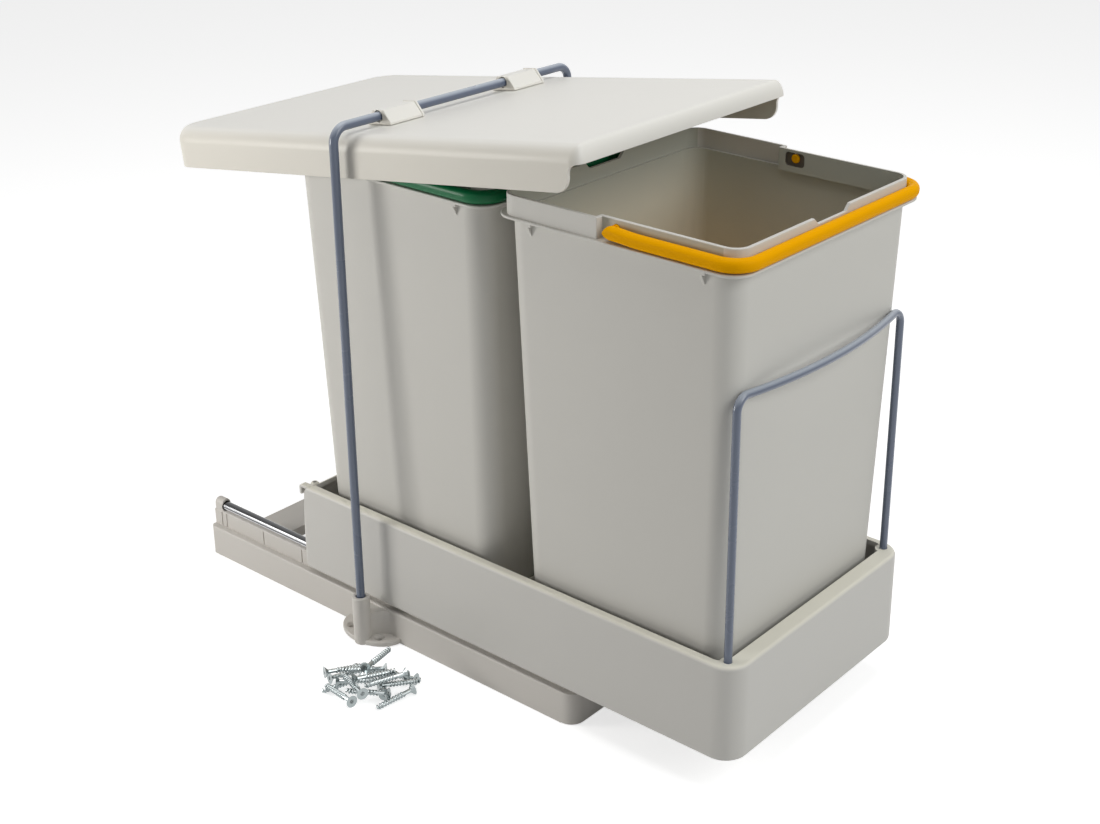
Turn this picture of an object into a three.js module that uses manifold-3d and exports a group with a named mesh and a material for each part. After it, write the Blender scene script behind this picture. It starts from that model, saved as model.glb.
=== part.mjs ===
// Pull-out waste unit for a kitchen cabinet: a floor-mounted base with two guide rods, a tray on
// grooved rollers with two lift-out bins, and a lid that hangs on a wire hoop and tilts as the
// tray comes out. Millimetres. X to the right, Y to the rear, Z up; the origin is the middle of
// the base's underside, below the hoop. The tray stands partly pulled out.

import * as THREE from "three";
import { mergeVertices } from "three/addons/utils/BufferGeometryUtils.js";
import Module from "manifold-3d";

const wasm = await Module();
wasm.setup();

// Clearances
const seat = 0.3; // between pieces that touch
const slip = 0.3; // round a pin or rod in its hole

// Base
const baseWidth = 230;
const baseDepth = 428;
const baseHeight = 27.6;
const baseWall = 2.5;
const baseFrontCorner = 12;
const baseRearCorner = 4;
const ledgeWidth = 6;
const railWallWidth = 9.5; // from the ledge to the rail's inner face
const railFlange = 4; // inward lip that the runner toes reach under
const frontBarDepth = 34;
const middlePlateDepth = 44;
const rearPlateDepth = 40;
const plateHeight = 10;
const plateThickness = 3;
const slitPitch = 50;
const slitFromRear = 16;
const slitWidth = 0.9;
const slitDepth = 0.7;

// Guide rods
const rodRadius = 4;
const rodInset = 11; // from the base's sides
const rodHeight = 46.1;
const rodEndInset = 3; // from the base's ends
const postDepth = 10.5;
const postWidth = 9.6;
const postHeight = 52.5;

// Hoop and its feet
const hoopRadius = 3.5;
const hoopReach = 16.4; // beyond the base's sides
const hoopHeight = 435.5;
const hoopBend = 12;
const bossRadius = 7.2;
const bossHeight = 43;
const socketFloor = 6;
const footReach = 21.5; // beyond the base's side
const footHalfLength = 31;
const footShift = 4; // the flange's middle lies behind the hoop
const footThickness = 4.7;
const webHalfWidth = 4.5;
const webDrop = 1.5; // below the ledge
const flareHalfLength = 25;
const footHoleRadius = 2.6;
const footSinkRadius = 4.7;
const footHoleSpacing = 32;
const footHoleReach = 10;

// Tray
const trayDepth = 441.5;
const trayBottom = 31.4;
const trayTop = 109.9;
const trayWall = 2.5;
const trayFrontCorner = 16;
const trayRearCorner = 6;
const trayEdge = 1.8; // the rounding of its upper and lower edges
const trayRim = 7;
const trayFrontRim = 13.9;
const trayRimHeight = 4;
const trayFloorThickness = 2.5;
const trayRearLean = 6; // the foot of the rear end reaches this far beyond the rim
const traySideRound = 8;
const rearWallBottom = 56;
const pulledOut = 134; // from the closed place, as the unit stands here
const closedFront = -225.5; // the tray's front face with the unit closed
const underRibDepth = 9;
const underRibWidth = 2;
const locatorHeight = 5;
const hookReach = 7.5;
const hookWidth = 6;
const hookHeight = 9;
const hookThickness = 2.6;

// Runners
const rollerRadius = 7.5;
const rollerHeadroom = 0.8; // below the tray's floor
const rollerWidth = 9;
const grooveRadius = 4.15;
const axleRadius = 2;
const rollerFromRear = 24; // from the tray's rear end
const rollerSpacing = 37;
const cheekThickness = 2.5;
const cheekGap = 0.6; // between the rail's lip and the cheek
const hubRadius = 4.5;
const toeThickness = 2.5;
const toeClearance = 1.2;
const toeLength = 40;

// Bins
const binBottomInsetX = 15.3; // from the flange's edges
const binTopInsetX = 5.2;
const binBottomInsetY = 14.05;
const binTopInsetY = 7.35;
const binCorner = 17;
const binWall = 2.2;
const binBase = 2.5;
const binBaseRound = 5;
const binFrontGap = 6.6; // from the tray's front face to the flange
const binRearGap = 3.9; // from the rear flange to the tray's rear end
const binGap = 8; // between the two flanges
const flangeReach = 0.6; // beyond the tray's sides
const flangeTop = 397.9;
const flangeThickness = 2.2;
const flangeCorner = 16;
const collarHeight = 15.1; // above the flange
const collarInset = 8.2; // from the flange's side edges, at the handle
const collarRearInset = 2.4; // the same behind the pivots
const collarFrontInset = 5.9; // from the flange's front edge
const collarBackInset = 5.4;
const collarWall = 2.4;
const collarCorner = 13;
const collarStep = 12.3; // where the collar widens, behind the pivots
const notchDepth = 4.9;
const notchTopHalf = 22.3;
const notchBottomHalf = 17.4;
const tabFromEdge = 31.75; // from the flange's front and rear edges
const tabDepth = 10;
const tabReach = 4.4;
const tabWidth = 2.2;
const tabHeadWidth = 8;
const tabHeadDepth = 2;

// Handles
const handleHeight = 10;
const handleThickness = 9.2;
const handleDrop = 2.8; // the bail's middle below its pivots
const handleGap = 0.8; // beside the collar
const handleFrontGap = 0.4;
const handleRound = 4;
const pivotRise = 8.5; // above the flange
const pinRadius = 3.2;
const pinHeadRadius = 4.6;
const pinHeadThickness = 1.6;
const recessWidth = 20;
const recessDepth = 1.2;
const recessRise = 1.7; // above the flange

// Front guard
const guardRadius = 3;
const guardSideInset = 10.7; // from the tray's sides
const guardInset = 12.9; // behind the tray's front face
const guardHeight = 310.1;
const guardBend = 10;
const guardBow = 10;
const guardSocketFloor = 76;
const guardBossRadius = 6.4;

// Lid
const lidGap = 8.3; // from the lid's side to the hoop leg's middle
const lidFront = 226.5; // from the hoop bar
const lidRear = 217.5;
const lidThickness = 2.4;
const lidTop = 6.9; // below the bar's axis
const lidSkirt = 39; // below the bar's axis
const lidLip = 20; // below the bar's axis
const lidCorner = 26;
const skirtSetback = 10;
const skirtRound = 12;
const lipFillet = 7;
const lidTilt = 8.47; // degrees, front up
const shoulderDrop = 12.6; // the height of the rolled edge
const shoulderWidth = 11; // how far the rolled edge reaches inward
const clipHalfLength = 17.5;
const clipFromSide = 54.6; // from the lid's side
const clipHalfDepth = 12.5;
const clipTop = 5; // above the bar's axis
const clipRidge = 0.6;
const clipRidgeWidth = 2;

// Countersunk screws
const screwLength = 35;
const screwRadius = 2.4;
const screwHeadRadius = 4.5;
const screwHeadDepth = 3;
const screwTip = 6;
const heapX = -176; // the middle of the heap of loose screws
const heapY = -58;
const heapTurn = -46; // degrees, of the heap's long side
const heapStep = 0.5; // how finely a screw is lifted clear of those below
// Each loose screw: its middle along and across the heap, and its heading in degrees
const heap = [
  [-19, 21, 29], [-24, 5, 205], [-25, -13, 128], [19, 14, 151], [18, -18, 216], [22, -5, 15],
  [-2, 15, 140], [-3, -16, 163], [8, 3, 98], [-11, 2, 4], [-21, 14, 20], [-14, -11, 118],
  [12, 12, 150], [3, -8, 22], [5, 6, 60], [-6, 5, 172], [11, -11, 200],
];

// Number of straight steps
const arcSteps = 2; // pairs of steps in a rounded corner of an outline
const loftSteps = 5; // steps in a corner of a loft
const ovalSteps = 6;
const roundSides = 20;
const smallSides = 16;
const hubSides = 12;
const wireSides = 10;
const grooveSteps = 4;

// Places and sizes that follow from those above
const rodOffset = baseWidth / 2 - rodInset;
const hoopOffset = baseWidth / 2 + hoopReach;
const trayWidth = baseWidth;
const trayFront = closedFront - pulledOut;
const trayRear = trayFront + trayDepth;
const rollerRearY = trayRear - rollerFromRear;
const guardOffset = trayWidth / 2 - guardSideInset;
const lidHalfWidth = hoopOffset - lidGap;
const clipOffset = lidHalfWidth - clipFromSide;
const flangeHalfWidth = trayWidth / 2 + flangeReach;
const flangeHalfDepth = (trayDepth - binFrontGap - binRearGap - binGap) / 4;
const binPitch = 2 * flangeHalfDepth + binGap;
const binBottomHalfWidth = flangeHalfWidth - binBottomInsetX;
const binTopHalfWidth = flangeHalfWidth - binTopInsetX;
const binBottomHalfDepth = flangeHalfDepth - binBottomInsetY;
const binTopHalfDepth = flangeHalfDepth - binTopInsetY;
const collarTop = flangeTop + collarHeight;
const collarHalfWidth = flangeHalfWidth - collarInset;
const collarRearHalfWidth = flangeHalfWidth - collarRearInset;
const collarFront = flangeHalfDepth - collarFrontInset;
const collarRear = flangeHalfDepth - collarBackInset;
const tabFromMiddle = flangeHalfDepth - tabFromEdge;
const pivotHeight = flangeTop + pivotRise;
const recessFloor = flangeTop + recessRise;
const ledgeX = baseWidth / 2 - ledgeWidth;
const railInnerX = ledgeX - railWallWidth;
const railLipX = railInnerX - railFlange;
const railTop = rodHeight - rodRadius - seat;
const axleHeight = rodHeight + rodRadius + seat / 2 + rollerRadius - grooveDepth();
const trayFloor = axleHeight + rollerRadius + rollerHeadroom; // the floor's underside
const floorTop = trayFloor + trayFloorThickness;
const binBottom = floorTop + seat;

function grooveDepth() {
  return grooveRadius - Math.sqrt(grooveRadius ** 2 - (grooveRadius - 1) ** 2);
}

const paint = {
  base: new THREE.MeshStandardMaterial({ color: 0xb4b0a6, roughness: 0.5 }),
  tray: new THREE.MeshStandardMaterial({ color: 0xb0aca2, roughness: 0.5 }),
  bin: new THREE.MeshStandardMaterial({ color: 0xb6b6b0, roughness: 0.55 }),
  lid: new THREE.MeshStandardMaterial({ color: 0xdcdcd8, roughness: 0.5 }),
  wire: new THREE.MeshStandardMaterial({ color: 0x5c6c84, roughness: 0.35, metalness: 0.3 }),
  rod: new THREE.MeshStandardMaterial({ color: 0xd8dade, roughness: 0.15, metalness: 1 }),
  steel: new THREE.MeshStandardMaterial({ color: 0xb8bcc0, roughness: 0.3, metalness: 1 }),
  nylon: new THREE.MeshStandardMaterial({ color: 0xe4e2dc, roughness: 0.45 }),
  yellow: new THREE.MeshStandardMaterial({ color: 0xf0a60c, roughness: 0.35 }),
  green: new THREE.MeshStandardMaterial({ color: 0x1f7a48, roughness: 0.35 }),
};

// ---- Shapes to solids

function solid(geometry) {
  geometry.deleteAttribute("normal");
  geometry.deleteAttribute("uv");
  const merged = mergeVertices(geometry, 1e-4);
  const vertProperties = new Float32Array(merged.attributes.position.array);
  const triVerts = new Uint32Array(merged.index.array);
  return new wasm.Manifold(new wasm.Mesh({ numProp: 3, vertProperties, triVerts }));
}

function node(name, body, material) {
  const { vertProperties, triVerts } = body.getMesh();
  const geometry = new THREE.BufferGeometry();
  geometry.setAttribute("position", new THREE.BufferAttribute(vertProperties, 3));
  geometry.setIndex(new THREE.BufferAttribute(triVerts, 1));
  geometry.computeVertexNormals();
  const mesh = new THREE.Mesh(geometry, material);
  mesh.name = name;
  return mesh;
}

function union(...bodies) {
  return bodies.flat().reduce((all, body) => all.add(body));
}

function mirrored(body) {
  return body.mirror([1, 0, 0]);
}

function both(body) {
  return body.add(mirrored(body));
}

function extruded(shape, depth, round, steps = arcSteps) {
  return new THREE.ExtrudeGeometry(shape, {
    depth: depth - 2 * round,
    bevelEnabled: round > 0,
    bevelThickness: round,
    bevelSize: round,
    bevelOffset: -round,
    bevelSegments: round > 1 ? 2 : 1,
    curveSegments: steps,
  }).translate(0, 0, round);
}

// A plan outline raised from z0 to z1
function plate(shape, z0, z1, round = 0, steps = arcSteps) {
  return solid(extruded(shape, z1 - z0, round, steps).translate(0, 0, z0));
}

// An outline in X and Z, drawn out along Y
function alongY(shape, y0, y1, round = 0) {
  return solid(extruded(shape, y1 - y0, round).rotateX(Math.PI / 2).translate(0, y1, 0));
}

// An outline in Y and Z, drawn out along X
function alongX(shape, x0, x1, round = 0) {
  const turn = new THREE.Matrix4().makeBasis(
    new THREE.Vector3(0, 1, 0),
    new THREE.Vector3(0, 0, 1),
    new THREE.Vector3(1, 0, 0),
  );
  return solid(extruded(shape, x1 - x0, round).applyMatrix4(turn).translate(x0, 0, 0));
}

function box(x0, x1, y0, y1, z0, z1) {
  const geometry = new THREE.BoxGeometry(x1 - x0, y1 - y0, z1 - z0);
  return solid(geometry.translate((x0 + x1) / 2, (y0 + y1) / 2, (z0 + z1) / 2));
}

// A turned body on the Z axis, from [radius, height] points that start and end on the axis
function turned(profile, sides = roundSides) {
  const points = profile.map(([r, z]) => new THREE.Vector2(r, z));
  return solid(new THREE.LatheGeometry(points, sides).rotateX(Math.PI / 2));
}

function pole(radius, z0, z1, sides = roundSides) {
  return turned([[0, z0], [radius, z0], [radius, z1], [0, z1]], sides);
}

function crossPole(radius, x0, x1, sides = roundSides) {
  return pole(radius, x0, x1, sides).rotate([0, 90, 0]);
}

function polygon(points) {
  return new THREE.Shape(points.map(([x, y]) => new THREE.Vector2(x, y)));
}

// A rectangle with its front (low y) and rear corners rounded
function roundedRect(x0, x1, y0, y1, front, rear = front) {
  const shape = new THREE.Shape();
  shape.moveTo(x0 + front, y0);
  shape.lineTo(x1 - front, y0);
  shape.absarc(x1 - front, y0 + front, front, -Math.PI / 2, 0);
  shape.lineTo(x1, y1 - rear);
  shape.absarc(x1 - rear, y1 - rear, rear, 0, Math.PI / 2);
  shape.lineTo(x0 + rear, y1);
  shape.absarc(x0 + rear, y1 - rear, rear, Math.PI / 2, Math.PI);
  shape.lineTo(x0, y0 + front);
  shape.absarc(x0 + front, y0 + front, front, Math.PI, 1.5 * Math.PI);
  return shape;
}

// A closed skin over a row of rings with equal counts of points
function skin(rings) {
  const count = rings[0].length;
  const points = rings.flat();
  const index = [];
  for (let k = 0; k + 1 < rings.length; k += 1) {
    for (let i = 0; i < count; i += 1) {
      const a = k * count + i;
      const b = k * count + ((i + 1) % count);
      index.push(a, b, b + count, a, b + count, a + count);
    }
  }
  const middle = (ring) => ring.reduce((sum, p) => sum.add(p), new THREE.Vector3()).divideScalar(count);
  const low = points.push(middle(rings[0])) - 1;
  const high = points.push(middle(rings.at(-1))) - 1;
  const last = (rings.length - 1) * count;
  for (let i = 0; i < count; i += 1) {
    const j = (i + 1) % count;
    index.push(low, j, i, high, last + i, last + j);
  }
  const geometry = new THREE.BufferGeometry().setFromPoints(points);
  geometry.setIndex(index);
  return solid(geometry);
}

// One ring of a loft: a rounded rectangle at a height
function ring(halfWidth, front, rear, corner, z) {
  const centres = [
    [halfWidth - corner, front + corner, -90],
    [halfWidth - corner, rear - corner, 0],
    [corner - halfWidth, rear - corner, 90],
    [corner - halfWidth, front + corner, 180],
  ];
  return centres.flatMap(([x, y, start]) =>
    Array.from({ length: loftSteps + 1 }, (_, i) => {
      const angle = THREE.MathUtils.degToRad(start + (90 * i) / loftSteps);
      return new THREE.Vector3(x + corner * Math.cos(angle), y + corner * Math.sin(angle), z);
    }),
  );
}

// A round wire through a row of points
function wire(points, radius) {
  let side = new THREE.Vector3(0, 1, 0);
  const rings = points.map((point, i) => {
    const before = points[Math.max(i - 1, 0)];
    const after = points[Math.min(i + 1, points.length - 1)];
    const along = after.clone().sub(before).normalize();
    side = side.clone().addScaledVector(along, -side.dot(along)).normalize();
    const across = along.clone().cross(side);
    return Array.from({ length: wireSides }, (_, k) => {
      const angle = (2 * Math.PI * k) / wireSides;
      return point
        .clone()
        .addScaledVector(side, radius * Math.cos(angle))
        .addScaledVector(across, radius * Math.sin(angle));
    });
  });
  return skin(rings);
}

// The left half of a wire arch in the XZ plane: up the leg and round the bend
function archLeg(offset, bottom, top, bend) {
  const steps = 5;
  const leg = [new THREE.Vector3(-offset, 0, bottom)];
  for (let i = 0; i <= steps; i += 1) {
    const angle = (Math.PI / 2) * (i / steps);
    leg.push(
      new THREE.Vector3(-offset + bend - bend * Math.cos(angle), 0, top - bend + bend * Math.sin(angle)),
    );
  }
  return leg;
}

function flipped(points) {
  return points.map((p) => new THREE.Vector3(-p.x, p.y, p.z)).reverse();
}

// ---- Base

// One side rail, open below: outer wall, ledge, rod wall and the lip that the runners reach under
function rail() {
  const outer = baseWidth / 2;
  const profile = polygon([
    [outer, 0],
    [outer, baseHeight - 1],
    [outer - 1, baseHeight],
    [ledgeX, baseHeight],
    [ledgeX, railTop],
    [railLipX, railTop],
    [railLipX, railTop - baseWall],
    [railInnerX, railTop - baseWall],
    [railInnerX, 0],
    [railInnerX + baseWall, 0],
    [railInnerX + baseWall, railTop - baseWall],
    [ledgeX - baseWall, railTop - baseWall],
    [ledgeX - baseWall, baseHeight - baseWall],
    [outer - baseWall, baseHeight - baseWall],
    [outer - baseWall, 0],
  ]);
  return alongY(profile, baseFrontCorner + 1 - baseDepth / 2, baseDepth / 2);
}

// A cross channel, open below
function crossChannel(y0, y1, height) {
  const half = railInnerX + baseWall;
  const shell = box(-half, half, y0, y1, 0, height);
  return shell.subtract(box(-half - 1, half + 1, y0 + baseWall, y1 - baseWall, -1, height - baseWall));
}

// The front bar closes the rails' front ends behind a rounded nose
function frontBar() {
  const front = -baseDepth / 2;
  const half = baseWidth / 2;
  const nose = (inset) =>
    roundedRect(inset - half, half - inset, front + inset, front + frontBarDepth - inset, baseFrontCorner - inset, 1);
  return plate(nose(0), 0, baseHeight, 0).subtract(plate(nose(baseWall), -1, baseHeight - baseWall));
}

// The middle plate lies flat on the cabinet floor between two ribs
function middlePlate() {
  const half = railInnerX + baseWall;
  const y = middlePlateDepth / 2;
  const rib = box(-half, half, y - baseWall, y, 0, plateHeight);
  return union(box(-half, half, -y, y, 0, plateThickness), rib, rib.mirror([0, 1, 0]));
}

// A domed post that holds one end of a rod
function rodPost(end) {
  const half = postWidth / 2;
  const crown = new THREE.Shape();
  crown.moveTo(-half, baseHeight - 1);
  crown.lineTo(half, baseHeight - 1);
  crown.lineTo(half, postHeight - half);
  crown.absarc(0, postHeight - half, half, 0, Math.PI);
  const near = baseDepth / 2 - 0.5;
  const body = alongY(crown, near - postDepth, near, 0.8).translate([rodOffset, 0, 0]);
  return end > 0 ? body : body.mirror([0, 1, 0]);
}

function rodBody(radius, halfLength) {
  return pole(radius, -halfLength, halfLength).rotate([90, 0, 0]).translate([rodOffset, 0, rodHeight]);
}

// The hoop's foot: a screwed-down oval flange, a web that sweeps into the base's side, and a socket boss
function hoopFoot() {
  const side = baseWidth / 2 - baseWall / 2;
  const oval = new THREE.Shape();
  oval.absellipse(side, footShift, footReach + baseWall / 2, footHalfLength, -Math.PI / 2, Math.PI / 2, false, 0);
  const flange = plate(oval, 0, footThickness, 0.8, ovalSteps);
  const sweep = new THREE.Shape();
  sweep.moveTo(side, -flareHalfLength);
  sweep.quadraticCurveTo(side + 1, -webHalfWidth, hoopOffset, -webHalfWidth);
  sweep.lineTo(hoopOffset, webHalfWidth);
  sweep.quadraticCurveTo(side + 1, webHalfWidth, side, flareHalfLength);
  const flare = plate(sweep, 0, baseHeight - webDrop, 0, ovalSteps);
  const boss = pole(bossRadius, 0, bossHeight).translate([hoopOffset, 0, 0]);
  return union(flange, flare, boss);
}

// Countersunk holes through the foot's flange
function footHoles() {
  const rise = footSinkRadius - footHoleRadius;
  const hole = turned([
    [0, -1],
    [footHoleRadius, -1],
    [footHoleRadius, footThickness - rise],
    [footSinkRadius, footThickness],
    [footSinkRadius, footThickness + 1],
    [0, footThickness + 1],
  ], smallSides);
  const x = baseWidth / 2 + footHoleReach;
  return union(
    hole.translate([x, footShift - footHoleSpacing / 2, 0]),
    hole.translate([x, footShift + footHoleSpacing / 2, 0]),
  );
}

function railSlits() {
  const low = baseHeight + 1;
  const high = railTop - 2;
  const slits = [];
  for (let y = baseDepth / 2 - slitFromRear; y > -baseDepth / 2; y -= slitPitch) {
    slits.push(box(ledgeX - slitDepth, ledgeX + 1, y - slitWidth / 2, y + slitWidth / 2, low, high));
  }
  return union(slits);
}

function baseFrame() {
  const half = baseWidth / 2;
  const front = -baseDepth / 2;
  const rear = baseDepth / 2;
  const outline = roundedRect(-half, half, front, rear, 1, baseRearCorner);
  const rails = both(rail()).intersect(plate(outline, -1, railTop + 1));
  const rearWall = both(box(railInnerX, half - baseRearCorner, rear - baseWall, rear, 0, baseHeight));
  const upperRear = both(box(railInnerX, ledgeX, rear - baseWall, rear, 0, railTop));
  const body = union(
    rails,
    rearWall,
    upperRear,
    frontBar(),
    middlePlate(),
    crossChannel(rear - rearPlateDepth, rear, plateHeight),
    both(rodPost(1)),
    both(rodPost(-1)),
    both(hoopFoot()),
  );
  const socket = pole(hoopRadius + slip, socketFloor, bossHeight + 1).translate([hoopOffset, 0, 0]);
  const bore = rodBody(rodRadius + slip, baseDepth / 2 - rodEndInset + slip);
  return body.subtract(both(union(socket, bore, footHoles(), railSlits())));
}

function lidHoop() {
  const leg = archLeg(hoopOffset, socketFloor + seat, hoopHeight, hoopBend);
  return wire([...leg, ...flipped(leg)], hoopRadius);
}

// ---- Tray

function trayOutline(inset) {
  const half = trayWidth / 2 - inset;
  const front = Math.max(trayFrontCorner - inset, 3);
  const rear = Math.max(trayRearCorner - inset, 1);
  return roundedRect(-half, half, trayFront + inset, trayRear + trayRearLean - inset, front, rear);
}

// The tray's side view: a leaning rear end with rounded corners
function traySide() {
  const foot = trayRear + trayRearLean;
  const shape = new THREE.Shape();
  shape.moveTo(trayFront - 1, trayBottom - 1);
  shape.lineTo(foot - traySideRound, trayBottom - 1);
  shape.lineTo(foot - traySideRound, trayBottom);
  shape.absarc(foot - traySideRound, trayBottom + traySideRound, traySideRound, -Math.PI / 2, 0);
  shape.lineTo(trayRear, trayTop - traySideRound);
  shape.absarc(trayRear - traySideRound, trayTop - traySideRound, traySideRound, 0, Math.PI / 2);
  shape.lineTo(trayRear - traySideRound, trayTop + 1);
  shape.lineTo(trayFront - 1, trayTop + 1);
  return alongX(shape, -trayWidth, trayWidth);
}

function underRibs() {
  const low = trayFloor - underRibDepth;
  const x = (cheekX() - cheekThickness / 2) / 2;
  const front = trayFront + trayWall / 2;
  const rear = trayRear - trayWall / 2;
  return both(box(x - underRibWidth / 2, x + underRibWidth / 2, front, rear, low, trayFloor + 1));
}

// Low ribs that the two bins drop between
function locators() {
  const half = binBottomHalfWidth * 0.7;
  const gap = binPitch / 2 - binBottomHalfDepth;
  const middle = binMiddle() + binPitch / 2;
  const y = gap - 2;
  const rib = (at) => box(-half, half, at - underRibWidth / 2, at + underRibWidth / 2, floorTop - 1, floorTop + locatorHeight);
  return union(rib(middle - y), rib(middle + y));
}

function binMiddle() {
  return trayFront + binFrontGap + flangeHalfDepth;
}

function cheekX() {
  return railLipX - cheekGap;
}

function rollerYs() {
  return [rollerRearY - rollerSpacing, rollerRearY];
}

// The plate that carries the rollers on one side, with a toe below the rail's lip
function runnerCheek() {
  const x = cheekX();
  const y0 = rollerRearY - rollerSpacing - rollerRadius - 2;
  const y1 = rollerRearY + rollerRadius + 2;
  const toeTop = railTop - baseWall - toeClearance;
  const toeY = (y0 + y1) / 2 - toeLength / 2;
  const side = roundedRect(y0, y1, toeTop - toeThickness, trayFloor + 1, 4, 0.5);
  const plateBody = alongX(side, x - cheekThickness, x);
  const toe = box(x - 1, x + cheekGap + railFlange - 0.8, toeY, toeY + toeLength, toeTop - toeThickness, toeTop);
  const inner = rodOffset - rollerWidth / 2 - 0.5;
  const outer = rodOffset + rollerWidth / 2 + 0.5;
  const hubs = rollerYs().flatMap((y) => [
    crossPole(hubRadius, x - 1, inner, hubSides).translate([0, y, axleHeight]),
    crossPole(hubRadius, outer, trayWidth / 2 - trayWall / 2, hubSides).translate([0, y, axleHeight]),
  ]);
  return union(plateBody, toe, hubs);
}

function axleBody(radius, y, length0, length1) {
  return crossPole(radius, length0, length1, smallSides).translate([0, y, axleHeight]);
}

function guardBoss() {
  const y = trayFront + guardInset;
  const corner = box(guardOffset, trayWidth / 2 - 1, trayFront + trayFrontCorner / 2, y + guardBossRadius, floorTop - 1, trayTop - 1);
  const column = pole(guardBossRadius, floorTop - 1, trayTop - 0.5).translate([guardOffset, y, 0]);
  return union(column, corner.intersect(plate(trayOutline(1), floorTop - 1, trayTop - 1)));
}

// A small hook at the top of each rear corner
function rearHook() {
  const y0 = trayRear - 4;
  const y1 = trayRear + hookReach;
  const top = trayTop - 0.8;
  const shape = new THREE.Shape();
  shape.moveTo(y0, top - hookThickness);
  shape.lineTo(y1 - hookThickness, top - hookThickness);
  shape.lineTo(y1 - hookThickness, top - hookHeight);
  shape.lineTo(y1, top - hookHeight);
  shape.lineTo(y1, top - hookThickness);
  shape.absarc(y1 - hookThickness, top - hookThickness, hookThickness, 0, Math.PI / 2);
  shape.lineTo(y0, top);
  const x = trayWidth / 2 - 1.5;
  return alongX(shape, x - hookWidth, x, 0.5);
}

function trayFrame() {
  const shell = plate(trayOutline(0), trayBottom, trayTop, trayEdge).intersect(traySide());
  const inner = (inset, z0, z1, frontInset = inset) => {
    const half = trayWidth / 2 - inset;
    const corner = Math.max(trayFrontCorner - inset, 3);
    return plate(roundedRect(-half, half, trayFront + frontInset, trayRear - inset, corner, 2), z0, z1);
  };
  const above = inner(trayWall, floorTop, trayTop - trayRimHeight);
  const mouth = inner(trayRim, trayTop - trayRimHeight - 1, trayTop + 1, trayFrontRim);
  const below = inner(trayWall, trayBottom - 1, trayFloor);
  const half = trayWidth / 2 - trayWall;
  const rearGate = box(-half, half, trayRear - trayWall - 1, trayRear + 20, trayBottom - 1, rearWallBottom);
  const rearClear = box(-half, half, trayRear, trayRear + 20, trayBottom - 1, trayTop + 1);
  const hollow = shell.subtract(union(above, mouth, below, rearGate, rearClear));
  const ribs = underRibs().subtract(railPath());
  const added = union(ribs, locators(), both(runnerCheek()), both(guardBoss()), both(rearHook()));
  const body = hollow.add(added);
  const socket = pole(guardRadius + slip, guardSocketFloor, trayTop + 1);
  const bores = rollerYs().map((y) => axleBody(axleRadius + slip, y, cheekX() - 4, trayWidth / 2 - trayWall / 2));
  const cuts = union(socket.translate([guardOffset, trayFront + guardInset, 0]), bores);
  return body.subtract(both(cuts));
}

// The room that the rails, rods and rollers need below the tray's floor
function railPath() {
  const outer = trayWidth / 2 - trayWall;
  return both(box(railLipX - cheekGap, outer, trayFront - 1, trayRear + 1, trayBottom - 1, trayFloor));
}

function frontGuard() {
  const y = trayFront + guardInset;
  const leg = archLeg(guardOffset, guardSocketFloor + seat, guardHeight, guardBend);
  const straight = guardOffset - guardBend;
  const steps = 10;
  const bar = [];
  for (let i = 1; i < steps; i += 1) {
    const x = straight * ((2 * i) / steps - 1);
    bar.push(new THREE.Vector3(x, -guardBow * (1 - (x / straight) ** 2), guardHeight));
  }
  return wire([...leg, ...bar, ...flipped(leg)], guardRadius).translate([0, y, 0]);
}

// A nylon roller with a groove that sits on the rod
function roller() {
  const half = rollerWidth / 2;
  const profile = [[axleRadius + slip, -half], [rollerRadius - 0.6, -half], [rollerRadius, 0.6 - half]];
  const reach = Math.sqrt(grooveRadius ** 2 - (grooveRadius - grooveDepth()) ** 2);
  for (let i = 0; i <= grooveSteps; i += 1) {
    const z = reach * ((2 * i) / grooveSteps - 1);
    const sink = Math.sqrt(grooveRadius ** 2 - z ** 2) - (grooveRadius - grooveDepth());
    profile.push([rollerRadius - sink, z]);
  }
  profile.push([rollerRadius, half - 0.6], [rollerRadius - 0.6, half], [axleRadius + slip, half], [axleRadius + slip, -half]);
  return turned(profile, smallSides).rotate([0, 90, 0]);
}

// ---- Bins, about their own middle

function binBody(inset, bottom, top) {
  const rate = (z) => (z - binBottom) / (flangeTop - binBottom);
  const halfWidth = (z) => binBottomHalfWidth + rate(z) * (binTopHalfWidth - binBottomHalfWidth) - inset;
  const halfDepth = (z) => binBottomHalfDepth + rate(z) * (binTopHalfDepth - binBottomHalfDepth) - inset;
  const corner = binCorner - inset;
  const round = binBaseRound - inset;
  const rings = [0, 45, 90].map((degrees) => {
    const angle = THREE.MathUtils.degToRad(degrees);
    const draw = round * (1 - Math.sin(angle));
    const z = bottom + round * (1 - Math.cos(angle));
    const depth = halfDepth(z) - draw;
    return ring(halfWidth(z) - draw, -depth, depth, corner - draw, z);
  });
  rings.push(ring(halfWidth(top), -halfDepth(top), halfDepth(top), corner, top));
  return skin(rings);
}

function collar(inset, z0, z1) {
  const front = collarHalfWidth - inset;
  const rear = collarRearHalfWidth - inset;
  const corner = collarCorner - inset;
  const narrow = roundedRect(-front, front, inset - collarFront, collarRear - inset, corner, corner);
  const wide = roundedRect(-rear, rear, collarStep + inset, collarRear - inset, 1, corner);
  return union(plate(narrow, z0, z1), plate(wide, z0, z1));
}

// A small tab below the flange, a pointed fin under a short head
function flangeTab(y) {
  const low = flangeTop - flangeThickness;
  const inner = binTopHalfWidth - 1.5;
  const fin = polygon([[inner, low + 0.5], [inner, low - tabDepth], [binTopHalfWidth, low - tabDepth],
    [binTopHalfWidth + tabReach, low - 1], [binTopHalfWidth + tabReach, low + 0.5]]);
  const head = box(inner, binTopHalfWidth + tabReach, y - tabHeadWidth / 2, y + tabHeadWidth / 2, low - tabHeadDepth, low + 0.5);
  return alongY(fin, y - tabWidth / 2, y + tabWidth / 2).add(head);
}

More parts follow.
